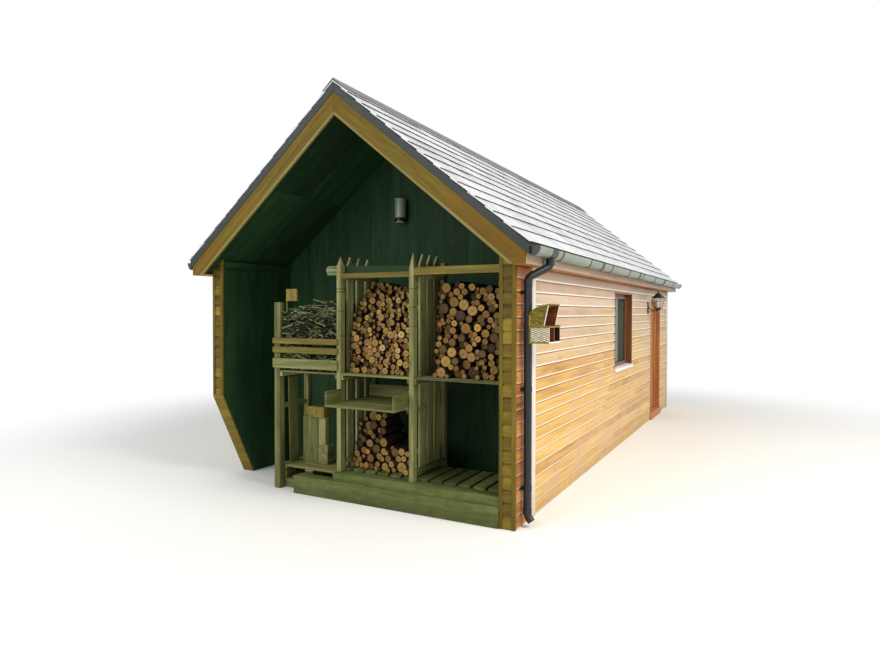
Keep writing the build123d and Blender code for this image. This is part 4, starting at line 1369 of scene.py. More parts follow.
# Roof
@dataclass
class SlateRoof:
    """Both slopes' slates, laid in courses that lap and break joint."""

    gauge: float = 0.212
    lap: float = 0.08
    thick: float = 0.0085
    width: float = 0.252
    gap: float = 0.0022

    def build(self) -> None:
        """Build each slope as a piece."""
        for side, name in ((1, "right"), (-1, "left")):
            piece = Assembly(f"slate_courses_{name}", 50 + side, "slate", "shaded_slate_edge")
            self.slope(piece, side)
            piece.close("slate", [f"slates_{name}"])

    def slope(self, piece: Assembly, side: int) -> None:
        """Set one slope's courses from the eaves up."""
        reach = (HALF + SLATE_OUT) / COS
        down = Vector((side * COS, 0, -SIN))
        up = Vector((side * SIN, 0, COS))
        y0 = -SLATE_VERGE
        y1 = LENGTH + SLATE_VERGE
        course = 0
        tail = reach
        while tail > 0.06:
            length = min(self.gauge + self.lap, tail - 0.004)
            edge = y0
            first = self.width if course % 2 == 0 else self.width / 2
            while edge < y1 - 0.01:
                step = first if edge == y0 else self.width
                stop = min(edge + step, y1)
                self.slate(piece, side, down, up, tail, length, edge, stop)
                edge = stop
            tail -= self.gauge
            course += 1

    def slate(
            self, piece: Assembly, side: int, down: Vector, up: Vector, tail: float, length: float,
            y0: float, y1: float) -> None:
        """Set one slate, its tail lifted on the course below.

        Args:
            piece: The piece that it goes into.
            side: 1 for the right slope, -1 for the left one.
            down: The way down the slope.
            up: The way out of the slope.
            tail: How far down its tail lies.
            length: How long it is.
            y0: Its near edge.
            y1: Its far edge.
        """
        part = cuboid(length, y1 - y0 - self.gap, self.thick)
        # The tail face takes the second finish: painted shade on the slate's lower edge.
        for face in part.faces:
            face.material_index = int(face.calc_center_median().x > length - 1e-4)
        for vertex in part.verts:
            if vertex.co.x > length / 2:
                vertex.co.x += piece.chance.uniform(-0.0028, 0.0014)
                vertex.co.y += piece.chance.uniform(-0.0008, 0.0008)
        fall = self.thick * 1.05 / self.gauge
        lift = piece.chance.uniform(-0.001, 0.0)
        head = Vector((0, y0 + self.gap / 2, APEX)) + down * (tail - length)
        place = axes(head, (down + up * fall).normalized(), Y_AXIS)
        sink = fall * length + self.thick - lift
        place.translation += up * -(sink if side > 0 else sink - self.thick)
        piece.add(part, place, None)


@dataclass
class RidgeTiles:
    """Angled ridge pieces butted along the ridge."""

    leg: float = 0.125
    thick: float = 0.0118
    piece_length: float = 0.4612

    def build(self) -> None:
        """Build the row of ridge pieces."""
        piece = Assembly("ridge_pieces", 55, "ridge")
        count = round((LENGTH + 2 * SLATE_VERGE) / self.piece_length)
        run = (LENGTH + 2 * SLATE_VERGE) / count
        outline = [
            (0, 0, roof_z(0)), (self.leg, 0, roof_z(self.leg)),
            (self.leg, 0, roof_z(self.leg, -self.thick)), (0, 0, roof_z(0, -self.thick)),
            (-self.leg, 0, roof_z(self.leg, -self.thick)), (-self.leg, 0, roof_z(self.leg))]
        for i in range(count):
            part = pushed(outline, (0, run - 0.004, 0), 0.002)
            shifted(part, (0, -SLATE_VERGE + i * run, 0))
            piece.add(part)
        piece.close("ridge", ["ridge_cap"])


@dataclass
class GableBoards:
    """Bargeboards with a pale lower edge, and the dark strip over them."""

    high_drop: float = 0.09
    low_drop: float = 0.254
    edge: float = 0.024

    def build(self) -> None:
        """Build the boards of both gables."""
        # The bargeboards' stained_trim finish is partly painted shade of the open gable.
        boards = Assembly("barge_boards", 61, "stained_trim", "pale_edge")
        strips = Assembly("verge_strips", 62, "verge")
        back = GABLE_BACK + SEAT
        for side in (1, -1):
            for y0, y1 in ((-GABLE_OUT, -back), (LENGTH + back, LENGTH + GABLE_OUT)):
                self.board(boards, side, y0, y1)
            for y0, y1 in ((-GABLE_OUT - 0.005, -back), (LENGTH + back, LENGTH + GABLE_OUT + 0.005)):
                self.strip(strips, side, y0, y1)
        boards.close("stained_trim", ["bargeboards"])
        strips.close("verge", ["verges"])

    def sloped(
            self, side: int, outline: Sequence[Pair], y0: float, y1: float,
            bevel: float) -> tuple[Solid, Matrix]:
        """Return a board in axes that follow the slope, and where it goes.

        Args:
            side: 1 for the right slope, -1 for the left one.
            outline: Its corners on the right side.
            y0: Its near face.
            y1: Its far face.
            bevel: How far its edges are eased.

        Returns:
            The board and its place.
        """
        along = Vector((side * COS, 0, -SIN))
        across = Vector((side * SIN, 0, COS))
        place = axes((0, 0, APEX), along, across)
        back = (Matrix.Translation((0, Y_SHIFT, 0)).inverted() @ place).inverted()
        points = [back @ Vector((side * x, y0, z)) for x, z in outline]
        push = back.to_3x3() @ Vector((0, y1 - y0, 0))
        return pushed([tuple(p) for p in points], tuple(push), bevel), place

    def board(self, piece: Assembly, side: int, y0: float, y1: float) -> None:
        """Set one bargeboard, mitred at the top and level at its foot."""
        end = HALF + EAVES_OUT
        foot = SOFFIT_Z - SOFFIT_T
        mitre = SEAT / 2
        low = self.low_drop - self.edge
        turn = (roof_z(0, low) - foot) / TAN
        outline = [
            (mitre, roof_z(mitre, low)), (turn, foot), (end, foot), (end, roof_z(end, self.high_drop)),
            (mitre, roof_z(mitre, self.high_drop))]
        piece.add(*self.sloped(side, outline, y0, y1, 0.002))
        turn_low = (roof_z(0, self.low_drop) - foot) / TAN
        outline = [
            (mitre, roof_z(mitre, self.low_drop)), (turn_low, foot), (turn, foot),
            (mitre, roof_z(mitre, low))]
        piece.add(*self.sloped(side, outline, y0, y1, 0.0008), finish=1)

    def strip(self, piece: Assembly, side: int, y0: float, y1: float) -> None:
        """Set one length of the dark strip under the slates."""
        end = HALF + EAVES_OUT + 0.03
        mitre = SEAT / 2
        outline = [
            (mitre, roof_z(mitre, self.high_drop)), (end, roof_z(end, self.high_drop)),
            (end, roof_z(end, SLATE_T)), (mitre, roof_z(mitre, SLATE_T))]
        piece.add(*self.sloped(side, outline, y0, y1, 0.0015))


@dataclass
class Eaves:
    """Fascias and soffits along both sides."""

    joint: float = 0.0012

    def build(self) -> None:
        """Build both boards in lengths with butt joints."""
        # The fascia finish's pale pinkish beige is painted sunlight.
        fascia = Assembly("fascia_boards", 71, "fascia")
        soffit = Assembly("soffit_boards", 72, "soffit")
        low = SOFFIT_Z - SOFFIT_T
        marks = (-GABLE_BACK, 2.9, 5.5, LENGTH + GABLE_BACK)
        x1 = HALF + EAVES_OUT
        x0 = x1 - FASCIA_T
        for y0, y1 in zip(marks, marks[1:]):
            for side in (1, -1):
                outline = [
                    (0, low, side * x0), (0, low, side * x1), (0, roof_z(x1, SLATE_T), side * x1),
                    (0, roof_z(x0, SLATE_T), side * x0)]
                part = pushed(outline, (y1 - y0 - self.joint, 0, 0), 0.0015)
                place = axes((0, y0, 0), Y_AXIS, Z_AXIS)
                fascia.add(part, place, tone=0.6)
                soffit.timber((side * HALF, side * x0), (y0, y1 - self.joint), (low, SOFFIT_Z), 0.001)
        fascia.close("stained_trim", ["fascias"])
        soffit.close("stained_trim", ["soffits"])


@dataclass
class Rainwater:
    """Deep half-round gutters with brackets, unions and stop ends, and the downpipe."""

    width: float = 0.112
    depth: float = 0.075
    top: float = 2.374
    wall: float = 0.003
    outlet: float = 0.31
    pipe: float = 0.034
    pipe_x: float = HALF + 0.05
    pipe_y: float = 0.16

    def arc(self, grow: float, count: int = 18) -> list[Pair]:
        """Return the trough's curve, back edge first, grown outwards.

        Args:
            grow: How far it is grown.
            count: The steps of the curve.

        Returns:
            The curve's points.
        """
        middle = HALF + EAVES_OUT + self.width / 2
        points = []
        for i in range(count + 1):
            angle = math.pi + math.pi * i / count
            points.append(
                (
                    middle + (self.width / 2 + grow) * math.cos(angle), self.top + (self.depth + grow)
                    * math.sin(angle)))
        return points

    def length(self, y0: float, y1: float, outer: float, inner: float) -> Solid:
        """Return a length of trough between two depths.

        Args:
            y0: Its near end.
            y1: Its far end.
            outer: How far the outside of the shell is grown.
            inner: How far its inside is.

        Returns:
            The length.
        """
        wall_x = HALF + EAVES_OUT
        shell = [(max(x, wall_x), z) for x, z in self.arc(outer)] + self.arc(inner)[::-1]
        return pushed([(x, y0, z) for x, z in shell], (0, y1 - y0, 0))

    def lip(self, x: Pair, z: Pair, y0: float, run: float) -> Solid:
        """Return a square bar along the trough's front lip.

        Args:
            x: Its two sides, from the lip.
            z: Its two heights, from the lip.
            y0: Its near end.
            run: How long it is.

        Returns:
            The bar.
        """
        lip_x, lip_z = self.arc(0.0)[-1]
        corners = ((0, 0), (1, 0), (1, 1), (0, 1))
        return pushed([(lip_x + x[i], y0, lip_z + z[j]) for i, j in corners], (0, run, 0))

    def build(self) -> None:
        """Build the gutters as one piece and the downpipe as another."""
        # The gutter finish is partly painted glare. The brackets and stop ends keep the dark plastic's
        # colour.
        piece = Assembly("gutter_runs", 81, "gutter", "bracket")
        y0 = -GABLE_BACK + 0.006
        y1 = LENGTH + GABLE_BACK - 0.006
        parts = [(self.length(y0, y1, 0.0, -self.wall), 0)]
        parts += [
            (self.length(y0, y0 + 0.02, 0.0022, -0.0036), 1),
            (self.length(y1 - 0.02, y1, 0.0022, -0.0036), 1)]
        for end in (y0 - 0.0004, y1 - 0.0036):
            plate = [(x, end, z) for x, z in self.arc(0.0022)]
            parts.append((pushed(plate, (0, 0.004, 0)), 1))
        parts.append((self.lip((-0.006, 0.001), (-0.004, 0.001), y0, y1 - y0), 0))
        for spot in (0.52 + 0.94 * i for i in range(9)):
            parts.append((self.length(spot, spot + 0.025, 0.004, -0.0005), 1))
            parts.append((self.lip((-0.012, 0.004), (-0.002, 0.003), spot, 0.025), 1))
        for spot in (1.95, 4.0, 6.05):
            parts.append((self.length(spot, spot + 0.085, 0.0034, -0.0045), 1))
        parts.append((self.length(self.outlet - 0.075, self.outlet + 0.075, 0.003, -0.0045), 1))
        for part, finish in parts:
            for each in (part.copy(), mirrored(part)):
                piece.add(each, finish=finish)
            part.free()
        piece.close("gutter", ["gutters"])
        self.downpipe()

    def downpipe(self) -> None:
        """Build the pipe with its swan neck, sockets, clips and shoe."""
        piece = Assembly("downpipe_run", 82, "pipe")
        out_x = HALF + EAVES_OUT + self.width / 2
        top = self.top - self.depth + 0.004
        neck = [
            (out_x, self.outlet, top), (out_x, self.outlet, top - 0.07),
            (self.pipe_x, self.pipe_y, top - 0.168), (self.pipe_x, self.pipe_y, 0.098),
            (self.pipe_x + 0.04, self.pipe_y - 0.006, 0.05)]
        piece.add(tube(rounded(neck, 0.035), self.pipe, 20))
        for z, tall in ((top - 0.03, 0.056), (2.085, 0.055), (1.18, 0.05), (0.33, 0.05), (0.135, 0.05)):
            x, y = (out_x, self.outlet) if z > 2.2 else (self.pipe_x, self.pipe_y)
            wide = self.pipe + 0.0042
            profile = [
                (self.pipe - 0.002, -tall / 2), (wide, -tall / 2), (wide, tall / 2),
                (self.pipe - 0.002, tall / 2)]
            piece.turn(profile, 20, (x, y, z))
        for z in (0.33, 1.18, 2.01):
            piece.timber(
                (HALF - 0.004, self.pipe_x - self.pipe + 0.002),
                (self.pipe_y - 0.02, self.pipe_y + 0.02), (z - 0.014, z + 0.014), 0.002, grain=Grain.X)
            piece.timber(
                (HALF - 0.001, HALF + 0.004), (self.pipe_y - 0.048, self.pipe_y + 0.048),
                (z - 0.016, z + 0.016), 0.002)
        piece.close("gutter", ["downpipe"])


# Window and door
@dataclass
class WindowUnit:
    """The window: frame, sash and weathered sill."""

    bar: float = 0.055

    def build(self) -> None:
        """Build the joinery, the sill and the reveal."""
        x0 = HALF - 0.14
        x1 = HALF - 0.085
        piece = Assembly("window_joinery", 91, "window_paint")
        for z0, z1 in ((WINDOW_Z0 + SEAT, WINDOW_Z0 + self.bar), (WINDOW_Z1 - self.bar, WINDOW_Z1)):
            piece.timber((x0, x1), (WINDOW_Y0, WINDOW_Y1), (z0, z1), 0.003)
        for y0, y1 in ((WINDOW_Y0, WINDOW_Y0 + self.bar), (WINDOW_Y1 - self.bar, WINDOW_Y1)):
            piece.timber((x0, x1), (y0, y1), (WINDOW_Z0 + self.bar, WINDOW_Z1 - self.bar), 0.003)
        self.casement(piece, x1, WINDOW_Y0 + self.bar, WINDOW_Y1 - self.bar)
        self.reveal(piece, x1)
        piece.close("window_paint", ["window_frame"])
        sill = Assembly("window_sill", 92, "sill_paint")
        outline = [
            (HALF - 0.084, WINDOW_Z0 + SEAT), (HALF - 0.084, WINDOW_Z0 + 0.034),
            (HALF + 0.025, WINDOW_Z0 + 0.025), (HALF + 0.025, WINDOW_Z0 - 0.014),
            (HALF + 0.0005, WINDOW_Z0 - 0.014), (HALF + 0.0005, WINDOW_Z0 + SEAT)]
        part = pushed([(0, z, x) for x, z in outline], (WINDOW_Y1 - WINDOW_Y0 - 0.002, 0, 0), 0.003, 2)
        sill.add(part, axes((0, WINDOW_Y0 + 0.001, 0), Y_AXIS, Z_AXIS))
        sill.close("")

    def casement(self, piece: Assembly, x1: float, y0: float, y1: float) -> None:
        """Set the sash bars against the frame."""
        stile = 0.038
        z0 = WINDOW_Z0 + self.bar
        z1 = WINDOW_Z1 - self.bar
        front = (x1 - 0.015, x1 + 0.012)
        for low, high in ((z0 - 0.012, z0 + stile - 0.012), (z1 - stile + 0.012, z1 + 0.012)):
            piece.timber(front, (y0 - 0.012, y1 + 0.012), (low, high), 0.004)
        for near, far in ((y0 - 0.012, y0 + stile - 0.012), (y1 - stile + 0.012, y1 + 0.012)):
            piece.timber(front, (near, far), (z0 + 0.02, z1 - 0.02), 0.004)

    def reveal(self, piece: Assembly, x1: float) -> None:
        """Set the boards that line the opening in front of the frame."""
        thin = 0.014
        front = HALF + 0.002
        for y0, y1 in ((WINDOW_Y0, WINDOW_Y0 + thin), (WINDOW_Y1 - thin, WINDOW_Y1)):
            piece.timber((x1, front), (y0, y1), (WINDOW_Z0 + 0.022, WINDOW_Z1), 0.0015)
        piece.timber(
            (x1, front), (WINDOW_Y0 + thin, WINDOW_Y1 - thin), (WINDOW_Z1 - thin, WINDOW_Z1), 0.0015)


@dataclass
class SideDoor:
    """The boarded side door, its frame, threshold, hinges and lever."""

    jamb: float = 0.035
    gap: float = 0.005
    leaf_t: float = 0.044
    floor: float = 0.1
    stop: float = 0.018
    hinges: tuple[float, ...] = (0.33, 1.08, 1.83)

    def build(self) -> None:
        """Build the fixed frame, then the leaf with its ironmongery."""
        self.fixed()
        self.leaf()
        self.ironmongery()

    def fixed(self) -> None:
        """Build the jambs, head, stops and threshold."""
        piece = Assembly("door_jambs", 101, "door_stain", "ironmongery")
        stop_x = INNER + self.leaf_t + self.gap
        jamb, stop = self.jamb, self.stop
        for x0, x1, grow in ((INNER, HALF, 0.0), (stop_x, stop_x + 0.03, stop)):
            piece.timber(
                (x0, x1), (DOOR_Y0, DOOR_Y0 + jamb + grow), (self.floor, DOOR_HEAD - jamb), 0.0015)
            piece.timber(
                (x0, x1), (DOOR_Y1 - jamb - grow, DOOR_Y1), (self.floor, DOOR_HEAD - jamb), 0.0015)
            piece.timber((x0, x1), (DOOR_Y0, DOOR_Y1), (DOOR_HEAD - jamb - grow, DOOR_HEAD), 0.0015)
        piece.timber((INNER, HALF + 0.025), (DOOR_Y0, DOOR_Y1), (0.0, self.floor), 0.004, segments=2)
        pin = DOOR_Y1 - self.jamb - 0.001
        for z in self.hinges:
            piece.timber(
                (INNER - 0.003, INNER), (pin + 0.008, pin + 0.034), (z - 0.045, z + 0.045), 0.0005, 1)
            for side in (1, -1):
                piece.turn(
                    [
                        (0.0, -0.0148), (0.0062, -0.0148), (0.007, -0.0138), (0.007, 0.0138),
                        (0.0062, 0.0148), (0.0, 0.0148)],
                    16, (INNER - 0.008, pin, z + side * 0.0303), 1)
                piece.timber(
                    (INNER - 0.008, INNER), (pin, pin + 0.009), (z + side * 0.0153, z + side * 0.045),
                    0.0003, 1)
        piece.close("window_paint", ["door_frame"])

    def leaf(self) -> None:
        """Build the leaf: upright boards, rails across them and beads round the pane."""
        piece = Assembly("door_boards", 102, "door_stain")
        y0 = DOOR_Y0 + self.jamb + self.gap
        y1 = DOOR_Y1 - self.jamb - self.gap
        z0 = self.floor + self.gap
        z1 = DOOR_HEAD - self.jamb - self.gap
        pane = (y0 + 0.23, y1 - 0.23, z1 - 0.7, z1 - 0.23)
        x0, x1 = INNER, INNER + self.leaf_t
        count = 8
        step = (y1 - y0) / count
        for i in range(count):
            a, b = y0 + i * step, y0 + (i + 1) * step - 0.0012
            spans = [(z0, z1)]
            if b > pane[0] and a < pane[1]:
                spans = [(z0, pane[2]), (pane[3], z1)]
                if a < pane[0] - 0.002 or b > pane[1] + 0.002:
                    self.notched(piece, a, b, pane, x0)
            for low, high in spans:
                piece.timber((x0 + 0.01, x1), (a, b), (low, high), 0.0022)
        for low, high in ((z0 + 0.1, z0 + 0.24), (z0 + 0.86, z0 + 1.0), (z1 - 0.2, z1 - 0.06)):
            piece.timber((x0, x0 + 0.0105), (y0 + 0.02, y1 - 0.02), (low, high), 0.0015)
        lip = 0.022
        for face in ((x1 - 0.006, x1 + 0.004), (x0 + 0.004, x0 + 0.014)):
            for a, b in ((pane[0] - 0.002, pane[0] + lip), (pane[1] - lip, pane[1] + 0.002)):
                piece.timber(face, (a, b), (pane[2] - 0.002, pane[3] + 0.002), 0.002)
            for a, b in ((pane[2] - 0.002, pane[2] + lip), (pane[3] - lip, pane[3] + 0.002)):
                piece.timber(face, (pane[0] + lip, pane[1] - lip), (a, b), 0.002)
        piece.close("window_paint", ["door_leaf"], "door")

    def notched(self, piece: Assembly, a: float, b: float, pane: Box, x0: float) -> None:
        """Set the strip of a board that passes beside the pane.

        Args:
            piece: The piece that it goes into.
            a: The board's near edge.
            b: Its far edge.
            pane: The pane's two depths and two heights.
            x0: The leaf's inner face.
        """
        near, far = (a, pane[0]) if a < pane[0] else (pane[1], b)
        piece.timber((x0 + 0.01, x0 + self.leaf_t), (near, far), (pane[2], pane[3]), 0.0015)

    def ironmongery(self) -> None:
        """Build the levers, plates and the hinge wings on the leaf."""
        piece = Assembly("door_levers", 103, "ironmongery")
        y = DOOR_Y0 + self.jamb + self.gap + 0.06
        z = 1.08
        for side, face in ((1, INNER + self.leaf_t), (-1, INNER)):
            piece.timber(
                (face, face + side * 0.008), (y - 0.02, y + 0.02), (z - 0.09, z + 0.09), 0.003,
                segments=2)
            stem = turned([(0.0, 0.0), (0.0075, 0.0), (0.0065, 0.02), (0.0, 0.0225)], 16)
            turn = Matrix.Rotation(side * math.pi / 2, 4, "Y")
            bmesh.ops.transform(
                stem, verts=stem.verts,
                matrix=(Matrix.Translation((face + side * 0.007, y, z + 0.04)) @ turn))
            piece.add(stem)
            grip = [
                (face + side * 0.03, y - 0.004, z + 0.04), (face + side * 0.033, y + 0.03, z + 0.041),
                (face + side * 0.033, y + 0.08, z + 0.038), (face + side * 0.03, y + 0.11, z + 0.035)]
            piece.add(tube(rounded(grip, 0.012, 3), 0.0075, 14))
        pin = DOOR_Y1 - self.jamb - 0.001
        for height in self.hinges:
            piece.turn(
                [(0.0, -0.0148), (0.007, -0.0148), (0.007, 0.0148), (0.0, 0.0148)], 16,
                (INNER - 0.008, pin, height))
            piece.timber(
                (INNER - 0.0085, INNER - 0.001), (pin - 0.009, pin - 0.004),
                (height - 0.014, height + 0.014), 0.0003)
            piece.timber(
                (INNER - 0.003, INNER), (pin - 0.075, pin - 0.008), (height - 0.045, height + 0.045),
                0.0008)
        piece.close("ironmongery", ["door_furniture"], "door")


# Fittings
@dataclass
class CoachLantern:
    """The six-sided lantern on its wall bracket."""

    y: float = 5.985
    out: float = 0.165
    top_r: float = 0.098
    low_r: float = 0.06
    low_z: float = 1.909
    top_z: float = 2.08

    def corners(self, radius: float, z: float) -> list[Vector]:
        """Return the six corners of the cage at one height."""
        x = HALF + self.out
        return [
            Vector(
                (
                    x + radius * math.cos(math.pi / 3 * k), self.y + radius * math.sin(math.pi / 3 * k),
                    z))
            for k in range(6)]

    def build(self) -> None:
        """Build the metalwork, the panes and the bulb."""
        metal = Assembly("lantern_cage", 111, "lantern_metal", "lamp_bulb")
        x = HALF + self.out
        metal.timber(
            (HALF - 0.002, HALF + 0.012), (self.y - 0.04, self.y + 0.04), (1.815, 2.005), 0.004,
            segments=2)
        arm = [
            (HALF + 0.008, self.y, 1.93), (HALF + 0.05, self.y, 1.88), (HALF + 0.11, self.y, 1.862),
            (x, self.y, 1.868), (x, self.y, 1.89)]
        metal.add(tube(rounded(arm, 0.016, 4), 0.007, 12))
        scroll = [
            (HALF + 0.01, self.y, 1.85), (HALF + 0.045, self.y, 1.842), (HALF + 0.085, self.y, 1.858)]
        metal.add(tube(rounded(scroll, 0.014, 4), 0.005, 10))
        for profile in (
                [
                    (0.0, 1.872), (0.02, 1.872), (0.03, 1.88), (0.038, 1.89), (0.06, 1.902),
                    (0.062, 1.912), (0.0, 1.912)],
                [
                    (0.0, 2.15), (0.026, 2.15), (0.016, 2.158), (0.01, 2.166), (0.012, 2.174),
                    (0.006, 2.184), (0.0, 2.185)]):
            metal.turn(profile, 18, (x, self.y, 0))
        low = self.corners(self.low_r, self.low_z)
        high = self.corners(self.top_r, self.top_z)
        for a, b in zip(low, high):
            metal.add(tube([a, b], 0.0042, 8))
        for ring in (low, high):
            for a, b in zip(ring, ring[1:] + ring[:1]):
                metal.add(tube([a, b], 0.0048, 8))
        for sizes, bevel in (
                ((0.106, self.top_z + 0.002, 0.028, 2.152), 0.002),
                ((0.1, self.top_z - 0.006, 0.107, self.top_z + 0.004), 0.001)):
            metal.add(ease(self.frustum(*sizes), bevel))
        metal.turn(
            [(0.0, 1.912), (0.014, 1.912), (0.014, 1.95), (0.026, 1.985), (0.022, 2.012), (0.0, 2.026)],
            18, (x, self.y, 0), 1)
        metal.close("lantern_metal", ["lantern"])
        panes = Assembly("lantern_panes", 112, "lamp_glass")
        panes.add(
            self.frustum(
                self.low_r - 0.003, self.low_z + 0.002, self.top_r - 0.003, self.top_z - 0.002))
        panes.close("glass")

    def frustum(self, low_r: float, low_z: float, top_r: float, top_z: float) -> Solid:
        """Return a closed six-sided taper.

        Args:
            low_r: Its radius at the foot.
            low_z: The height of its foot.
            top_r: Its radius at the top.
            top_z: The height of its top.

        Returns:
            The taper.
        """
        part = bmesh.new()
        bmesh.ops.create_cone(
            part, cap_ends=True, segments=6, radius1=low_r, radius2=top_r, depth=top_z - low_z)
        turn = Matrix.Rotation(math.pi / 6, 4, "Z")
        middle = Matrix.Translation((HALF + self.out, self.y, (low_z + top_z) / 2))
        bmesh.ops.transform(part, verts=part.verts, matrix=middle @ turn)
        return part


@dataclass
class StoreLight:
    """The upright cylinder light on the back wall of the open bay."""

    x: float = 0.028
    radius: float = 0.062

    def build(self) -> None:
        """Build the body, lens and caps."""
        y = STORE_DEPTH - self.radius - 0.014
        piece = Assembly("bulkhead_light", 121, "store_light", "ironmongery")
        r = self.radius
        lens = [
            (0.0, 2.874), (r - 0.004, 2.874), (r, 2.88), (r, 3.06), (r - 0.004, 3.066), (0.0, 3.066)]
        foot = [(0.0, 2.822), (r - 0.016, 2.822), (r - 0.012, 2.826), (r - 0.012, 2.84), (0.0, 2.84)]
        cap = [
            (0.0, 2.838), (r, 2.838), (r + 0.004, 2.842), (r + 0.004, 2.868), (r + 0.001, 2.874),
            (0.0, 2.874)]
        lid = [
            (0.0, 3.066), (r + 0.002, 3.066), (r + 0.004, 3.07), (r + 0.004, 3.08), (r - 0.004, 3.086),
            (0.0, 3.086)]
        for profile, finish in ((lens, 0), (foot, 0), (cap, 1), (lid, 0)):
            piece.turn(profile, 32, (self.x, y, 0), finish)
        for k in range(5):
            z = 2.91 + 0.034 * k
            piece.turn(
                [(r - 0.003, z), (r + 0.002, z), (r + 0.002, z + 0.005), (r - 0.003, z + 0.005)], 32,
                (self.x, y, 0))
        piece.timber((self.x - 0.045, self.x + 0.045), (y, STORE_DEPTH), (2.85, 3.08), 0.003, 1)
        piece.close("store_light", ["store_light"])


@dataclass
class NestBox:
    """The woven nest box on the pipe: a leaning hood over a lower box with two mouths."""

    x: float = HALF + 0.05 + 0.038 * math.cos(math.pi / 12) + SEAT
    y0: float = 0.076
    y1: float = 0.374
    seat: float = 1.722
    foot: float = 1.578
    depth: float = 0.177
    hood: tuple[Pair, ...] = (
        (0.0, 0.0), (0.0, 0.089), (0.015, 0.116), (0.037, 0.134), (0.065, 0.152), (0.098, 0.167),
        (0.132, 0.178), (0.172, 0.184), (0.133, 0.0))

    def build(self) -> None:
        """Build the panels, then weave over their outsides."""
        piece = Assembly("nest_panels", 131, "basketwork", "nest_inside", "nest_dark", "cover_strip")
        thin = 0.01
        outline = [(self.x + x, self.seat + z) for x, z in self.hood]
        for near in (self.y0 + 0.004, self.y1 - 0.004 - thin):
            part = pushed([(x, near, z) for x, z in outline], (0, thin, 0))
            piece.add(part, finish=1)
        roof = outline[1:-1]
        for a, b in zip(roof, roof[1:]):
            self.slab(piece, a, b, thin)
        piece.timber(
            (self.x, self.x + 0.012), (self.y0, self.y1), (self.seat, self.seat + 0.09), 0.001, 0,
            grain=Grain.Z)
        self.rim(piece)
        self.lower(piece)
        piece.close("basketwork", ["nest_box"])
        self.weave(roof)

    def slab(self, piece: Assembly, a: Pair, b: Pair, thin: float) -> None:
        """Set one strip of the hood's curved top."""
        outline = [a, b, (b[0] + 0.003, b[1] - thin), (a[0] + 0.003, a[1] - thin)]
        part = pushed([(x, self.y0 + 0.004, z) for x, z in outline], (0, self.y1 - self.y0 - 0.008, 0))
        piece.add(part, finish=1)

    def rim(self, piece: Assembly) -> None:
        """Set the pale band round the hood's mouth."""
        foot = Vector((self.x + 0.133, 0, self.seat + 0.004))
        head = Vector((self.x + 0.171, 0, self.seat + 0.179))
        for y in (self.y0 + 0.004, self.y1 - 0.004):
            piece.add(tube([foot + Y_AXIS * y, head + Y_AXIS * y], 0.005, 8), finish=3)
        piece.add(tube([head + Y_AXIS * self.y0, head + Y_AXIS * self.y1], 0.006, 8), finish=0)

    def lower(self, piece: Assembly) -> None:
        """Set the lower box: floor, top, ends and the upright between its mouths."""
        x0, x1 = self.x, self.x + self.depth
        y0, y1 = self.y0 - 0.002, self.y1 + 0.002
        mid = (self.y0 + self.y1) / 2
        low, high = self.foot + 0.013, self.seat - 0.013
        for z0, z1 in ((self.foot, low), (high, self.seat)):
            piece.timber((x0, x1), (y0, y1), (z0, z1), 0.0015, 0)
            z = (z0 + z1) / 2
            piece.timber(
                (x1, x1 + 0.003), (y0, y1), (z - 0.006, z + 0.006), 0.001, 3 if z0 < low - 0.001 else 0)
        for a, b, finish in (
                (y0 + 0.004, y0 + 0.012, 3), (mid - 0.006, mid + 0.006, 1),
                (y1 - 0.012, y1 - 0.004, 2)):
            piece.timber((x0, x1 - 0.001), (a, b), (low, high), 0.001, finish, grain=Grain.Z)
        piece.timber((x0, x0 + 0.016), (y0, y1), (low, high), 0.001, 0, grain=Grain.Z)
        piece.timber((x1, x1 + 0.003), (y0, y0 + 0.01), (low, high), 0.001, 3)

    def weave(self, roof: Sequence[Pair]) -> None:
        """Build the woven withies on both ends, the hood's top and the lower box."""
        piece = Assembly("nest_weave", 132, "basketwork")
        pitch = 0.0092
        cell = 0.026
        for y, out in ((self.y0 + 0.004, -1), (self.y1 - 0.004, 1)):
            for row in range(int((self.seat + 0.18 - self.foot) / pitch)):
                z = self.foot + 0.004 + row * pitch
                x_end = self.x + (self.depth - 0.004 if z < self.seat else self.edge(z))
                x_start = self.x + (0.001 if z < self.seat + 0.09 else self.back(z))
                self.withy(piece, x_start, x_end, y, z, out, row, pitch, cell)
        done = 0
        for a, b in zip(roof, roof[1:]):
            run = math.dist(a, b)
            steps = max(1, round(run / pitch))
            for i in range(steps):
                t = (i + 0.5) / steps
                spot = (a[0] + (b[0] - a[0]) * t, a[1] + (b[1] - a[1]) * t)
                self.top_withy(piece, spot, (b[0] - a[0], b[1] - a[1]), done, pitch, cell)
                done += 1
        piece.close("basketwork")

    def edge(self, z: float) -> float:
        """Return how far out the hood's leaning mouth is at a height."""
        return 0.133 + (z - self.seat) / 0.184 * 0.039 - 0.002

    def back(self, z: float) -> float:
        """Return how far out the hood's top is at a height."""
        rise = z - self.seat
        for (x0, z0), (x1, z1) in zip(self.hood[1:], self.hood[2:]):
            if z0 <= rise <= z1:
                return x0 + (x1 - x0) * (rise - z0) / (z1 - z0) + 0.002
        return 0.155

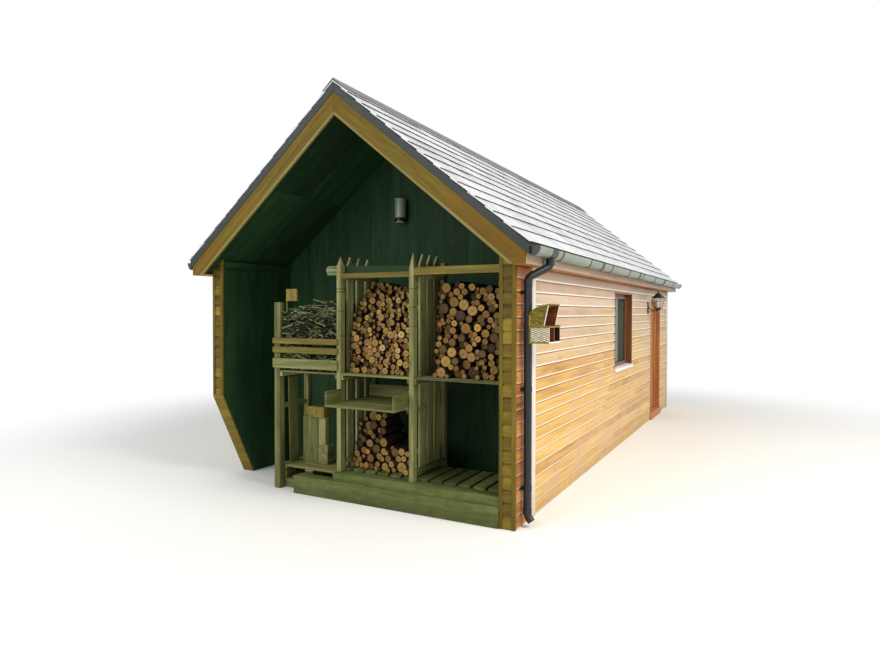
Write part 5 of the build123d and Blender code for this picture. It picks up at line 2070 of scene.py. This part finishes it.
    def withy(
            self, piece: Assembly, x0: float, x1: float, y: float, z: float, out: int, row: int,
            pitch: float, cell: float) -> None:
        """Set one row of withy that passes over and under the stakes.

        Args:
            piece: The piece that it goes into.
            x0: Where it starts.
            x1: Where it ends.
            y: The panel's face.
            z: Its height.
            out: Which way the panel faces.
            row: The row's number.
            pitch: The height of a row.
            cell: The distance between stakes.
        """
        if x1 - x0 < 0.01:
            return
        count = max(1, round((x1 - x0) / cell))
        step = (x1 - x0) / count
        for i in range(count):
            over = (i + row) % 2 == 0
            lift = 0.003 if over else 0.0008
            piece.timber(
                (x0 + i * step - 0.001, x0 + (i + 1) * step + 0.001), (y - out * 0.002, y + out * lift),
                (z, z + pitch * 0.97), 0.0009)

    def top_withy(
            self, piece: Assembly, spot: Pair, run: Pair, row: int, pitch: float, cell: float) -> None:
        """Set one row of withy across the hood's top.

        Args:
            piece: The piece that it goes into.
            spot: Where the row lies.
            run: The slope's way there.
            row: The row's number.
            pitch: The width of a row.
            cell: The distance between stakes.
        """
        slope = Vector((run[0], 0, run[1])).normalized()
        out = Vector((-slope.z, 0, slope.x))
        width = self.y1 - self.y0
        count = round(width / cell)
        step = width / count
        for i in range(count):
            lift = 0.003 if (i + row) % 2 == 0 else 0.0008
            part = cuboid(step + 0.002, pitch * 0.97, lift + 0.002, 0.0009)
            origin = Vector((spot[0], self.y0 + i * step - 0.001, spot[1]))
            origin = origin - slope * (pitch * 0.43) - out * 0.002
            piece.add(part, axes(origin + slope * (pitch * 0.97), Y_AXIS, -slope))


# Racking
@dataclass
class Racking:
    """The posts, pales, shelves and rails that hold the firewood."""

    plank: Box = (-0.278, 0.08, 0.69, 0.395)
    plank_end: float = 0.15
    ties: dict[str, tuple[Pair, ...]] = field(
        default_factory=lambda: {
            "left": ((2.062, 0.007), (2.032, 0.008), (1.842, 0.004), (1.6, 0.005)),
            "middle": ((2.05, 0.005), (1.882, 0.005), (1.708, 0.004))})

    def build(self) -> None:
        """Build every part of the racking."""
        self.divider("left", LEFT_X, RACK_TOP, 0.1, (0.25, 0.405, 0.56), 0.095, 141)
        self.divider("middle", MID_X, RACK_TOP + 0.01, 0.165, (0.275, 0.415, 0.555), 0.118, 142)
        self.cleats()
        for name, x0, x1, back, seed in (
                ("left", BAY_POST_X + BAY_POST + SEAT, LEFT_X - SEAT, LEFT_BACK, 143),
                ("centre", LEFT_X + POST + SEAT, MID_X - SEAT, SHELF_BACK, 144),
                ("right", MID_X + POST + SEAT, INNER - SEAT, SHELF_BACK, 145)):
            self.shelf(name, x0, x1, back, seed)
        self.tops()
        self.left_bay()
        self.tray()

    def pale(
            self, piece: Assembly, x0: float, x1: float, y: float, z0: float, z1: float, width: float,
            point: float = 0.095, spire: bool = False) -> None:
        """Set an upright board with a sawn point, on all four sides for a spire.

        Args:
            piece: The piece that it goes into.
            x0: Its left face.
            x1: Its right face.
            y: Its middle.
            z0: Its foot.
            z1: Its tip.
            width: Its width.
            point: How tall the point is.
            spire: Whether the two faces are pointed too.
        """
        w = width / 2
        outline = [
            (z0, y - w, 0), (z0, y + w, 0), (z1 - point, y + w, 0), (z1, y, 0), (z1 - point, y - w, 0)]
        part = pushed(outline, (0, 0, -(x1 - x0)))
        if spire:
            half = (x1 - x0) / 2
            for side in (1, -1):
                cut(part, (z1, y, -half), (half, 0, side * point))
        ease(part, 0.0018)
        piece.add(part, axes((x0, 0, 0), Z_AXIS, Y_AXIS), tone=0.7 if spire else 0.8)

    def divider(
            self, side: str, x0: float, top: float, point: float, spots: Sequence[float], width: float,
            seed: int) -> None:
        """Build one divider: front and rear posts, rails, pales and shelf cleats.

        Args:
            side: Its name.
            x0: Its left face.
            top: The front post's tip.
            point: How tall that point is.
            spots: The depths of its pales.
            width: The pales' width.
            seed: What its tones are drawn from.
        """
        piece = Assembly(f"divider_posts_{side}", seed, "rack_timber", "ironmongery")
        x1 = x0 + POST
        xc = (x0 + x1) / 2
        self.pale(piece, x0, x1, RACK_FRONT + 0.035, BEARER_TOP, top, 0.07, point, True)
        wrap = 0.0012
        for z, tall in self.ties[side]:
            piece.timber(
                (x0 - wrap, x1 + wrap), (RACK_FRONT - wrap, RACK_FRONT + 0.07 + wrap), (z, z + tall),
                0.0008, 1, grain=Grain.X)
        piece.timber((x0, x1), (RACK_BACK - REAR_POST, RACK_BACK), (0, RACK_TOP - 0.06), 0.002)
        for z in (0.33, 1.16, RACK_TOP - 0.23):
            piece.timber((xc, x1), (RACK_FRONT + 0.06, RACK_BACK - 0.05), (z, z + RAIL), 0.0018)
        for y in spots:
            self.pale(piece, x0 + 0.003, xc, y, 0.3, RACK_TOP, width)
        low = SHELF_TOP - SHELF_T - RAIL
        for a, b in ((x0 - 0.025, x0), (x1, x1 + 0.025)):
            piece.timber((a, b), (RACK_FRONT + 0.005, RACK_BACK - 0.02), (low, low + RAIL), 0.0015)
        piece.close("rack_timber", [f"divider_{side}"])

    def cleats(self) -> None:
        """Build the wall cleats and the tray's runners."""
        piece = Assembly("shelf_bearers", 146, "rack_timber")
        back = (RACK_FRONT + 0.005, RACK_BACK - 0.02)
        low = SHELF_TOP - SHELF_T - RAIL
        piece.timber((INNER - 0.025, INNER), back, (low, low + RAIL))
        piece.timber(
            (INNER - 0.025, INNER), (RACK_FRONT + 0.03, 0.56), (RACK_TOP - 0.23, RACK_TOP - 0.185))
        high = TRAY_TOP - TRAY_T
        for x0, x1 in ((LEFT_X + POST, LEFT_X + 0.08), (MID_X - 0.03, MID_X)):
            piece.timber((x0, x1), back, (high - RAIL, high))
        piece.close("rack_timber", ["shelf_cleats"])

    def shelf(self, name: str, x0: float, x1: float, back: float, seed: int) -> None:
        """Build one shelf of boards with its front rail.

        Args:
            name: Its name.
            x0: Its left end.
            x1: Its right end.
            back: How deep it reaches.
            seed: What its tones are drawn from.
        """
        piece = Assembly(f"boards_shelf_{name}", seed, "rack_timber")
        low = SHELF_TOP - SHELF_T
        piece.timber((x0, x1), (RACK_FRONT + 0.004, RACK_FRONT + 0.03), (low, SHELF_TOP), 0.002)
        piece.row(6, (x0, x1), (RACK_FRONT + 0.042, back), 0.012, (low, SHELF_TOP), 0.002)
        piece.close("rack_timber", [f"shelf_{name}"])

    def tops(self) -> None:
        """Build the right bay's top shelf, the centre rail and the loose plank."""
        piece = Assembly("top_boards", 147, "rack_timber", "golden_timber")
        x0, x1 = MID_X + POST + SEAT, INNER - SEAT
        piece.timber(
            (x0, x1), (RACK_FRONT, RACK_FRONT + 0.028), (RACK_TOP - 0.21, RACK_TOP - 0.14), 0.002, 1)
        piece.row(
            4, (x0, x1), (RACK_FRONT + 0.03, RACK_FRONT + 0.51), 0.004,
            (RACK_TOP - 0.185, RACK_TOP - 0.165))
        piece.close("rack_timber", ["top_shelf"])
        rail = Assembly("top_rails", 148, "grey_timber", "golden_timber")
        rail.timber(
            (LEFT_X + POST + SEAT, MID_X - SEAT), (RACK_FRONT, RACK_FRONT + 0.028),
            (RACK_TOP - 0.225, RACK_TOP - 0.175), 0.002, 1)
        ax, ay, bx, by = self.plank
        along = Vector((bx - ax, by - ay, 0)).normalized()
        length = math.hypot(bx - ax, by - ay)
        place = axes((ax, ay, RACK_TOP - 0.185 + SEAT), along, Z_AXIS)
        for start, run, tone in (
                (0.003, self.plank_end, 0.62),
                (self.plank_end + 0.003, length - self.plank_end - 0.006, 0.12)):
            part = cuboid(run, 0.09, 0.022, 0.0)
            if tone > 0.5:
                cut(part, (0.0, 0.06, 0), (-0.9, 0.65, 0))
                cut(part, (0.0, 0.06, 0), (-0.9, -0.25, 0))
            ease(part, 0.0015)
            rail.add(part, place @ Matrix.Translation((start, 0, -0.0225)), tone=tone)
        rail.close("rack_timber", ["top_rail"])

    def left_bay(self) -> None:
        """Build the left bay's posts, rails, leaning pale and front slats."""
        piece = Assembly("left_bay_frame", 149, "rack_timber")
        x0 = BAY_POST_X
        x1 = x0 + BAY_POST
        under = SHELF_TOP - SHELF_T
        rear = LEFT_BACK - LEFT_REAR_POST
        piece.timber(
            (x0, x1), (RACK_FRONT, RACK_FRONT + BAY_POST), (0.0, 1.94), 0.003, tone=0.25, segments=2)
        piece.timber((x0, x0 + 0.06), (rear, LEFT_BACK), (0.0, under), 0.003)
        for z in (1.16, 0.83):
            piece.timber((x0 + 0.01, x0 + 0.04), (RACK_FRONT + BAY_POST, rear), (z, z + RAIL))
        lean = pushed(
            [
                (PALLET_TOP + SEAT, 0.235, 0), (PALLET_TOP + SEAT, 0.371, 0), (1.15, 0.341, 0),
                (1.15, 0.208, 0)],
            (0, 0, -0.02), 0.0015)
        piece.add(lean, axes((x0 + 0.04, 0, 0), Z_AXIS, Y_AXIS), tone=0.4)
        piece.timber((x1, x1 + 0.025), (RACK_FRONT + 0.005, LEFT_BACK), (under - RAIL, under))
        piece.timber((x0 + 0.06, x1), (rear, LEFT_BACK), (under - RAIL, under))
        piece.close("rack_timber", ["left_frame"])
        slats = Assembly("front_slats", 150, "golden_timber", "rack_timber")
        for z0, z1, finish in ((1.512, 1.57, 0), (1.418, 1.48, 0), (1.262, 1.36, 1)):
            slats.timber(
                (x0 - 0.005, LEFT_X + 0.02), (RACK_FRONT - 0.022, RACK_FRONT), (z0, z1), 0.002, finish,
                tone=0.45)
        slats.close("rack_timber", ["left_slats"])

    def tray(self) -> None:
        """Build the shallow tray in the centre bay."""
        piece = Assembly("tray_boards", 151, "rack_timber")
        x0 = LEFT_X + 0.052
        x1 = MID_X - 0.002
        low = TRAY_TOP - TRAY_T
        piece.row(6, (x0, x1), (-TRAY_OUT, 0.56), 0.0015, (low, TRAY_TOP), 0.001, 0.3)
        for a, b in ((x0, x0 + 0.02), (x1 - 0.02, x1)):
            piece.timber((a, b), (-TRAY_OUT, 0.04), (TRAY_TOP, TRAY_TOP + 0.125), 0.0015, tone=0.2)
        piece.timber((x0, x1), (0.54, 0.56), (TRAY_TOP, TRAY_TOP + 0.125), 0.0015)
        piece.close("rack_timber", ["tray"])


@dataclass
class BaseTimbers:
    """The sleepers, the slatted floor and the pallet that the racking stands on."""

    def build(self) -> None:
        """Build the three."""
        base = Assembly("sleepers", 161, "sleeper")
        base.timber((-0.62, INNER - SEAT), (-0.015, 0.115), (0, SLEEPER_TOP), 0.006, segments=2)
        base.timber(
            (LEFT_X - 0.01, INNER - SEAT), (0.005, 0.122), (SLEEPER_TOP, BEARER_TOP), 0.004, segments=2)
        base.close("sleeper", ["base_timbers"])
        self.floor()
        self.pallet()

    def floor(self) -> None:
        """Build the slatted floor on its joists."""
        piece = Assembly("slatted_floor", 162, "sleeper")
        x0, x1 = LEFT_X, INNER - 0.005
        y0 = 0.122 + SEAT
        y1 = RACK_BACK - REAR_POST - SEAT
        for y in (y0, (y0 + y1) / 2 - 0.022, y1 - RAIL):
            piece.timber((x0, x1), (y, y + RAIL), (0, DECK_TOP - DECK_T), 0.002)
        count = 12
        step = (x1 - x0) / count
        for i in range(count):
            x = x0 + i * step
            piece.timber((x, x + step - 0.032), (y0, y1), (DECK_TOP - DECK_T, DECK_TOP), 0.002)
        piece.close("sleeper", ["rack_floor"])

    def pallet(self) -> None:
        """Build the block pallet on its packers."""
        piece = Assembly("block_pallet", 163, "rack_timber")
        x0, x1 = BAY_POST_X - 0.005, LEFT_X - 0.012
        y0 = RACK_FRONT + BAY_POST + SEAT
        y1 = LEFT_BACK - LEFT_REAR_POST - SEAT
        top = PALLET_TOP
        for y in (y0, y1 - 0.09):
            piece.timber((x0 + 0.04, x1 - 0.04), (y, y + 0.09), (0, 0.09), 0.003)
        for x in (x0, (x0 + x1) / 2 - 0.05, x1 - 0.1):
            piece.timber((x, x + 0.1), (y0, y1), (0.09, 0.106))
            piece.timber((x, x + 0.1), (y0, y1), (top - 0.038, top - 0.02))
            for y in (y0, (y0 + y1) / 2 - 0.05, y1 - 0.1):
                piece.timber((x, x + 0.1), (y, y + 0.1), (0.106, top - 0.038), 0.002, grain=Grain.Y)
        piece.row(5, (x0, x1), (y0, y1 + 0.018), 0.018, (top - 0.02, top))
        piece.close("sleeper", ["left_pallet"])


@dataclass
class StoredTimber:
    """The sawn pieces kept in the left bay, below and above its shelf."""

    def build(self) -> None:
        """Build the standing pieces, the beam on them and the offcut on its batten."""
        piece = Assembly("loose_timber", 171, "rack_timber", "golden_timber")
        z = PALLET_TOP + SEAT
        piece.timber((-0.765, -0.57), (0.31, 0.37), (z, 0.732), 0.002, tone=0.35)
        piece.timber((-0.566, -0.44), (0.31, 0.41), (z, 0.445), 0.003, tone=0.6, grain=Grain.Y)
        piece.timber((-0.56, -0.468), (0.31, 0.37), (0.445 + SEAT, 0.732), 0.002, tone=0.8)
        piece.timber(
            (-0.676, -0.46), (0.275, 0.4), (0.732 + SEAT, 0.84), 0.004, 1, tone=0.75, segments=2,
            grain=Grain.Y)
        piece.timber(
            (-0.802, -0.664), (0.088, 0.11), (1.952, 2.077), 0.003, 1, tone=0.95, segments=2,
            grain=Grain.Z)
        piece.timber((-0.81, -0.79), (0.094, 0.11), (1.832 + SEAT, 2.0))
        piece.close("rack_timber", ["stored_timber"])


@dataclass
class Kindling:
    """The heap of thin split sticks on the left shelf."""

    pitch: float = 0.025
    rise: float = 0.02
    depth: Pair = (RACK_FRONT + 0.01, 0.558)
    crown: tuple[Pair, ...] = (
        (-0.85, 0.606), (-0.786, 0.626), (-0.587, 0.684), (-0.185, 0.742), (-0.125, 0.745))

    def build(self) -> None:
        """Build the heap's dark middle, and sticks over it from the shelf up."""
        piece = Assembly("kindling_sticks", 181, "kindling", "bark")
        x0, x1 = self.crown[0][0] + 0.003, self.crown[-1][0] - 0.003
        self.middle(piece, x0, x1)
        z = SHELF_TOP + 0.01
        while z < SHELF_TOP + self.crown[-1][1]:
            x = x0 + piece.chance.uniform(0.0, 0.02)
            while x < x1:
                if z < SHELF_TOP + level(self.crown, x) - 0.004:
                    self.stick(piece, x, z, (x0, x1))
                x += self.pitch * piece.chance.uniform(0.7, 1.3)
            z += self.rise
        piece.close("firewood", ["kindling"])

    def middle(self, piece: Assembly, x0: float, x1: float) -> None:
        """Set the closed body that stands for the sticks out of sight."""
        inset = 0.05
        foot = SHELF_TOP + SEAT
        outline = [(x0, foot), (x1, foot)]
        outline += [(min(max(x, x0), x1), SHELF_TOP + high - inset) for x, high in reversed(self.crown)]
        y0, y1 = self.depth[0] + 0.075, self.depth[1]
        part = pushed([(x, y0, z) for x, z in outline], (0, y1 - y0, 0), 0.01)
        piece.add(part, finish=1, tone=0.1)

    def stick(self, piece: Assembly, x: float, z: float, limits: Pair) -> None:
        """Set one split stick near a place in the heap.

        Args:
            piece: The piece that it goes into.
            x: The place across the heap.
            z: Its height.
            limits: The heap's two ends.
        """
        chance = piece.chance
        thick = chance.uniform(0.005, 0.012)
        wide = chance.uniform(0.007, 0.017)
        if chance.random() < 0.5:
            length = chance.uniform(0.18, 0.38)
            yaw = chance.choice((-1, 1)) * chance.uniform(0.85, 1.5)
            tip = chance.uniform(-0.5, 0.75)
        else:
            length = chance.uniform(0.12, 0.26)
            yaw = chance.gauss(0, 0.45)
            tip = chance.gauss(0, 0.18)
        along = Vector((math.sin(yaw), math.cos(yaw), math.sin(tip))).normalized()
        across = along.cross(Z_AXIS).normalized()
        outline = [
            (0, 0, 0), (0, wide, 0.1 * thick), (0, wide * 0.9, thick), (0, wide * 0.15, thick * 0.8)]
        part = pushed(outline, (length, 0, 0))
        shifted(part, (-length / 2, -wide / 2, -thick / 2))
        deep = self.depth[0] + abs(along.y) * length / 2 + chance.uniform(0.0, 0.06)
        if chance.random() < 0.15:
            deep += 0.16
        place = axes((x, deep, z), along, across)
        corners = [place @ v.co for v in part.verts]
        low = [min(c[i] for c in corners) for i in range(3)]
        high = [max(c[i] for c in corners) for i in range(3)]
        top = SHELF_TOP + min(
            level(self.crown, max(low[0], limits[0])),
            level(self.crown, min(high[0], limits[1]))) + 0.006
        shift = Vector(
            (
                max(limits[0] - low[0], 0) + min(limits[1] - high[0], 0),
                max(self.depth[0] + Y_SHIFT - low[1], 0), min(top - high[2], 0)))
        shift.z += max(SHELF_TOP + 0.001 - low[2] - shift.z, 0)
        place.translation += shift
        piece.add(part, place)


# Stacked logs, settled in millimetres inside the CAD stacks' outlines
def pair_spots(placed: list, radius: float) -> list[Pair]:
    """Return the places where a log would touch two logs already placed.

    Args:
        placed: The logs' places, heights and radii.
        radius: The new log's radius.

    Returns:
        The places and heights.
    """
    spots = []
    for i, (ax, az, ar) in enumerate(placed):
        for bx, bz, br in placed[i + 1:]:
            ra = ar + radius
            rb = br + radius
            gap = math.hypot(bx - ax, bz - az)
            if gap > ra + rb or gap < 1e-6:
                continue
            along = (ra * ra - rb * rb + gap * gap) / (2 * gap)
            off2 = ra * ra - along * along
            if off2 < 0:
                continue
            off = math.sqrt(off2)
            ux = (bx - ax) / gap
            uz = (bz - az) / gap
            for sign in (1, -1):
                x = ax + along * ux - sign * off * uz
                z = az + along * uz + sign * off * ux
                spots.append((x, z))
    return spots


def edge_spots(placed: list, radius: float, width: float) -> list[Pair]:
    """Return the places where a log would touch the shelf or a side, and one log.

    Args:
        placed: The logs' places, heights and radii.
        radius: The new log's radius.
        width: The bay's width.

    Returns:
        The places and heights.
    """
    spots = [(radius, radius), (width - radius, radius)]
    for cx, cz, cr in placed:
        reach = cr + radius
        drop = radius - cz
        if abs(drop) < reach:
            run = math.sqrt(reach * reach - drop * drop)
            spots.append((cx + run, radius))
            spots.append((cx - run, radius))
        for x in (radius, width - radius):
            off = x - cx
            if abs(off) < reach:
                spots.append((x, cz + math.sqrt(reach * reach - off * off)))
    return spots


def settle(placed: list, radius: float, width: float, crown: Callable[[float], float]) -> Pair | None:
    """Return the height and place of the lowest seat for a log under the crown.

    Args:
        placed: The logs' places, heights and radii.
        radius: The new log's radius.
        width: The bay's width.
        crown: The top line's height at each share of the width.

    Returns:
        The seat, or None where there is none.
    """
    best = None
    last = placed[-1][1] if placed else 0.0
    floor = last - 130
    live = [log for log in placed if log[1] > floor]
    placed = [log for log in placed if log[1] > floor - 130]
    for x, z in pair_spots(live, radius) + edge_spots(live, radius, width):
        if not radius - 1e-6 <= x <= width - radius + 1e-6 or z < max(radius, floor) - 1e-6:
            continue
        if z + radius > crown(x / width):
            continue
        if best is not None and (z, x) >= best:
            continue
        if all(math.hypot(x - cx, z - cz) > cr + radius - 1e-6 for cx, cz, cr in placed):
            best = (z, x)
    return best


@dataclass
class LogStack:
    """One bay's logs, settled from its floor up to a crown line."""

    name: str
    x0: float
    x1: float
    z0: float
    crown: Callable[[float], float]
    sizes: Point
    lean: Point
    tall: float
    seed: int
    node: str = ""
    # The range that log tones are drawn from. A lowered range is painted shade of the bay.
    tones: Pair = (0.0, 1.0)
    sides: int = 14

    def centres(self) -> list[Point]:
        """Return the centre and radius of every log, in millimetres."""
        width = (self.x1 - self.x0) * 1000
        chance = random.Random(self.seed)
        placed: list[Point] = []
        misses = 0
        while misses < 8:
            radius = chance.triangular(*self.sizes)
            seat = settle(placed, radius, width, self.crown)
            if seat is None:
                misses += 1
                continue
            placed.append((seat[1], seat[0], radius))
        return placed

    def build(self) -> None:
        """Build every log of the stack into one piece."""
        piece = Assembly(f"firewood_{self.name}", 190, "bark", "end_grain")
        faces = random.Random(self.seed + 1)
        toe, lean, power = self.lean
        for cx, cz, radius in self.centres():
            back = faces.uniform(0, 60) + (faces.uniform(20, 90) if faces.random() < 0.22 else 0)
            face = RACK_FRONT + (toe + lean * (cz / self.tall) ** power + back) / 1000
            length = min(max(LOG_MIN, SHELF_BACK - face), 0.78 - face)
            part = self.log(piece.chance, radius / 1000, length)
            origin = (self.x0 + cx / 1000, face, self.z0 + cz / 1000)
            piece.add(
                part, axes(origin, Y_AXIS, X_AXIS), None, tone=piece.chance.triangular(*self.tones),
                shift=False)
        piece.close("firewood", [self.node] if self.node else (), smooth=40.0)

    def log(self, chance: random.Random, radius: float, length: float) -> Solid:
        """Return one log, long in its own X, with bark round two sawn ends.

        Args:
            chance: What its shape is drawn from.
            radius: Its radius.
            length: How long it is.

        Returns:
            The log.
        """
        part = bmesh.new()
        turn = Matrix.Rotation(math.pi / 2, 4, "Y")
        bmesh.ops.create_circle(part, cap_ends=True, segments=self.sides, radius=radius, matrix=turn)
        waves = [(k, chance.uniform(0.0, 0.03) / (k - 0.5), chance.uniform(0, 6.3)) for k in (2, 3, 5)]
        for vertex in part.verts:
            angle = math.atan2(vertex.co.z, vertex.co.y)
            dent = sum(a * (1 + math.cos(k * angle + p)) for k, a, p in waves)
            vertex.co *= 1.0 - dent
        edges = list(part.edges)
        for run in (0.06, length - 0.06):
            ring, edges = grown(part, edges)
            bmesh.ops.translate(part, verts=ring, vec=(run, 0, 0))
        bmesh.ops.edgeloop_fill(part, edges=edges)
        bmesh.ops.recalc_face_normals(part, faces=part.faces)
        ends = [f for f in part.faces if len(f.verts) == self.sides]
        bark = min(0.0045, radius * 0.11)
        bmesh.ops.inset_individual(part, faces=ends, thickness=bark, depth=0.0)
        for face in part.faces:
            face.material_index = 1 if len(face.verts) == self.sides else 0
        lean = (chance.gauss(0, 0.05), chance.gauss(0, 0.05))
        for vertex in part.verts:
            if vertex.co.x < 0.03:
                tilt = vertex.co.y * lean[0] + vertex.co.z * lean[1]
                vertex.co.x += tilt + 0.002
        return part


HEAP = ((0, 430), (0.12, 540), (0.36, 540), (0.42, 330), (0.56, 240), (1, 250))
# The right upper and centre lower stacks draw darker tones: painted shade of their bays.
STACKS = (
    LogStack(
        "centre_upper", LEFT_X + POST + SEAT, MID_X - SEAT, SHELF_TOP + SEAT,
        lambda t: 890 + 30 * math.sin(9 * t), (11, 43, 14), (90, 400, 3.0), 890.0, 5,
        "logs_centre_upper"),
    LogStack(
        "right_upper", 0.905, INNER - SEAT, SHELF_TOP + SEAT, lambda t: 890 + 20 * math.sin(7 * t + 1),
        (14, 58, 24), (70, 170, 1.0), 890.0, 8, "logs_right_upper", (-0.1, 0.8)),
    LogStack(
        "right_upper_rear", MID_X + POST + SEAT, 1.12, SHELF_TOP + SEAT,
        lambda t: 850 + 20 * math.sin(7 * t), (16, 50, 26), (370, 40, 1.0), 890.0, 9),
    LogStack(
        "centre_lower", LEFT_X + POST + SEAT, MID_X - SEAT, DECK_TOP + SEAT, lambda t: level(HEAP, t),
        (16, 56, 24), (80, 300, 1.0), 560.0, 3, "logs_centre_lower", (-0.1, 0.9)))


# Stage
@dataclass
class Studio:
    """The floor, the light and the camera."""

    eye: Point = (3.722, -8.918, 1.841)
    yaw: float = 28.293
    tip: float = 89.04
    roll: float = -0.073
    lens: float = 25.84

    @staticmethod
    def seen(tree: ShaderTree) -> Socket:
        """Return 1 for what the camera sees, straight or by a mirror or a pane."""
        rays = tree.node("ShaderNodeLightPath")
        others = rays.plug.node.outputs
        for name in ("Is Glossy Ray", "Is Transmission Ray"):
            rays = rays.most(Socket(tree, others[name]))
        return rays

    def camera(self) -> None:
        """Set the camera where the photograph was taken."""
        data = bpy.data.cameras.new("camera")
        data.lens = self.lens
        data.sensor_width = 36.0
        data.clip_end = 200.0
        camera = stand("camera", data)
        camera.location = self.eye
        camera.rotation_euler = (
            math.radians(self.tip), math.radians(self.roll), math.radians(self.yaw))
        bpy.context.scene.camera = camera

    def floor(self) -> None:
        """Lay a plain pale floor that keeps the building's shadow."""
        part = bmesh.new()
        bmesh.ops.create_grid(part, x_segments=1, y_segments=1, size=60.0)
        mesh = bpy.data.meshes.new("floor")
        part.to_mesh(mesh)
        part.free()
        floor = stand("floor", mesh)
        floor.location = (0, 0, -0.002)
        tree = ShaderTree("floor")
        place = tree.place()
        away = tree.node("ShaderNodeVectorMath", {"operation": "LENGTH"}, {0: place}, output="Value")
        shader = tree.node(
            "ShaderNodeBsdfPrincipled", inputs={"Base Color": paint(240, 239, 236), "Roughness": 0.95})
        white = tree.node("ShaderNodeEmission", inputs={"Color": (1.0, 1.0, 1.0)})
        mixed = tree.node(
            "ShaderNodeMixShader",
            inputs={0: away.step(4.6, 8.4) * self.seen(tree), 1: shader, 2: white})
        tree.node("ShaderNodeOutputMaterial", inputs={"Surface": mixed})
        mesh.materials.append(tree.owner)

    def world(self) -> None:
        """Light the scene evenly, with a white backdrop for the camera."""
        world = bpy.data.worlds.new("studio")
        tree = ShaderTree(world)
        soft = tree.node("ShaderNodeBackground", inputs={"Color": (0.93, 0.97, 1.0), "Strength": 0.62})
        plain = tree.node("ShaderNodeBackground", inputs={"Color": (1, 1, 1)})
        mixed = tree.node("ShaderNodeMixShader", inputs={0: self.seen(tree), 1: soft, 2: plain})
        tree.node("ShaderNodeOutputWorld", inputs={0: mixed})
        bpy.context.scene.world = world

    def lamps(self) -> None:
        """Set a warm key on the right wall and a soft fill on the open gable."""
        for name, spot, aim, size, power, colour in (
                ("key", (9.5, -4.5, 9.0), (1.0, 0.0, 1.4), 5.0, 1150.0, (1.0, 0.95, 0.86)),
                ("fill", (-3.0, -11.0, 5.0), (0.0, -3.5, 1.4), 7.0, 420.0, (1.0, 0.99, 0.97))):
            data = bpy.data.lights.new(name, "AREA")
            data.energy = power
            data.size = size
            data.color = colour
            lamp = stand(name, data)
            lamp.location = spot
            way = Vector(aim) - Vector(spot)
            lamp.rotation_euler = way.to_track_quat("-Z", "Y").to_euler()

    def build(self) -> None:
        """Set the stage."""
        self.camera()
        self.floor()
        self.world()
        self.lamps()
        bpy.context.scene.view_settings.view_transform = "Standard"


def dress_frame() -> None:
    """Give the CAD nodes that stay their finishes."""
    for node in ("roof_right", "roof_left", "wall_partition"):
        dress(node, FINISHES.get("lining", Grain.Y))
    dress("room_floor", FINISHES.get("floor_boards", Grain.Y))
    dress("window_glass", FINISHES.get("glass"))
    dress("door_glass", FINISHES.get("glass"))


def main() -> None:
    """Build the stage and then every piece of the building."""
    logging.basicConfig(level=logging.INFO, format="%(name)s: %(message)s")
    Studio().build()
    dress_frame()
    for maker in (
            WallCores(), Cladding(), Pilasters(), CornerTrims(), Lining(), SlateRoof(), RidgeTiles(),
            GableBoards(), Eaves(), Rainwater(), WindowUnit(), SideDoor(), CoachLantern(), StoreLight(),
            NestBox(), Racking(), BaseTimbers(), StoredTimber(), Kindling(), *STACKS):
        maker.build()


if __name__ == "__main__":
    main()
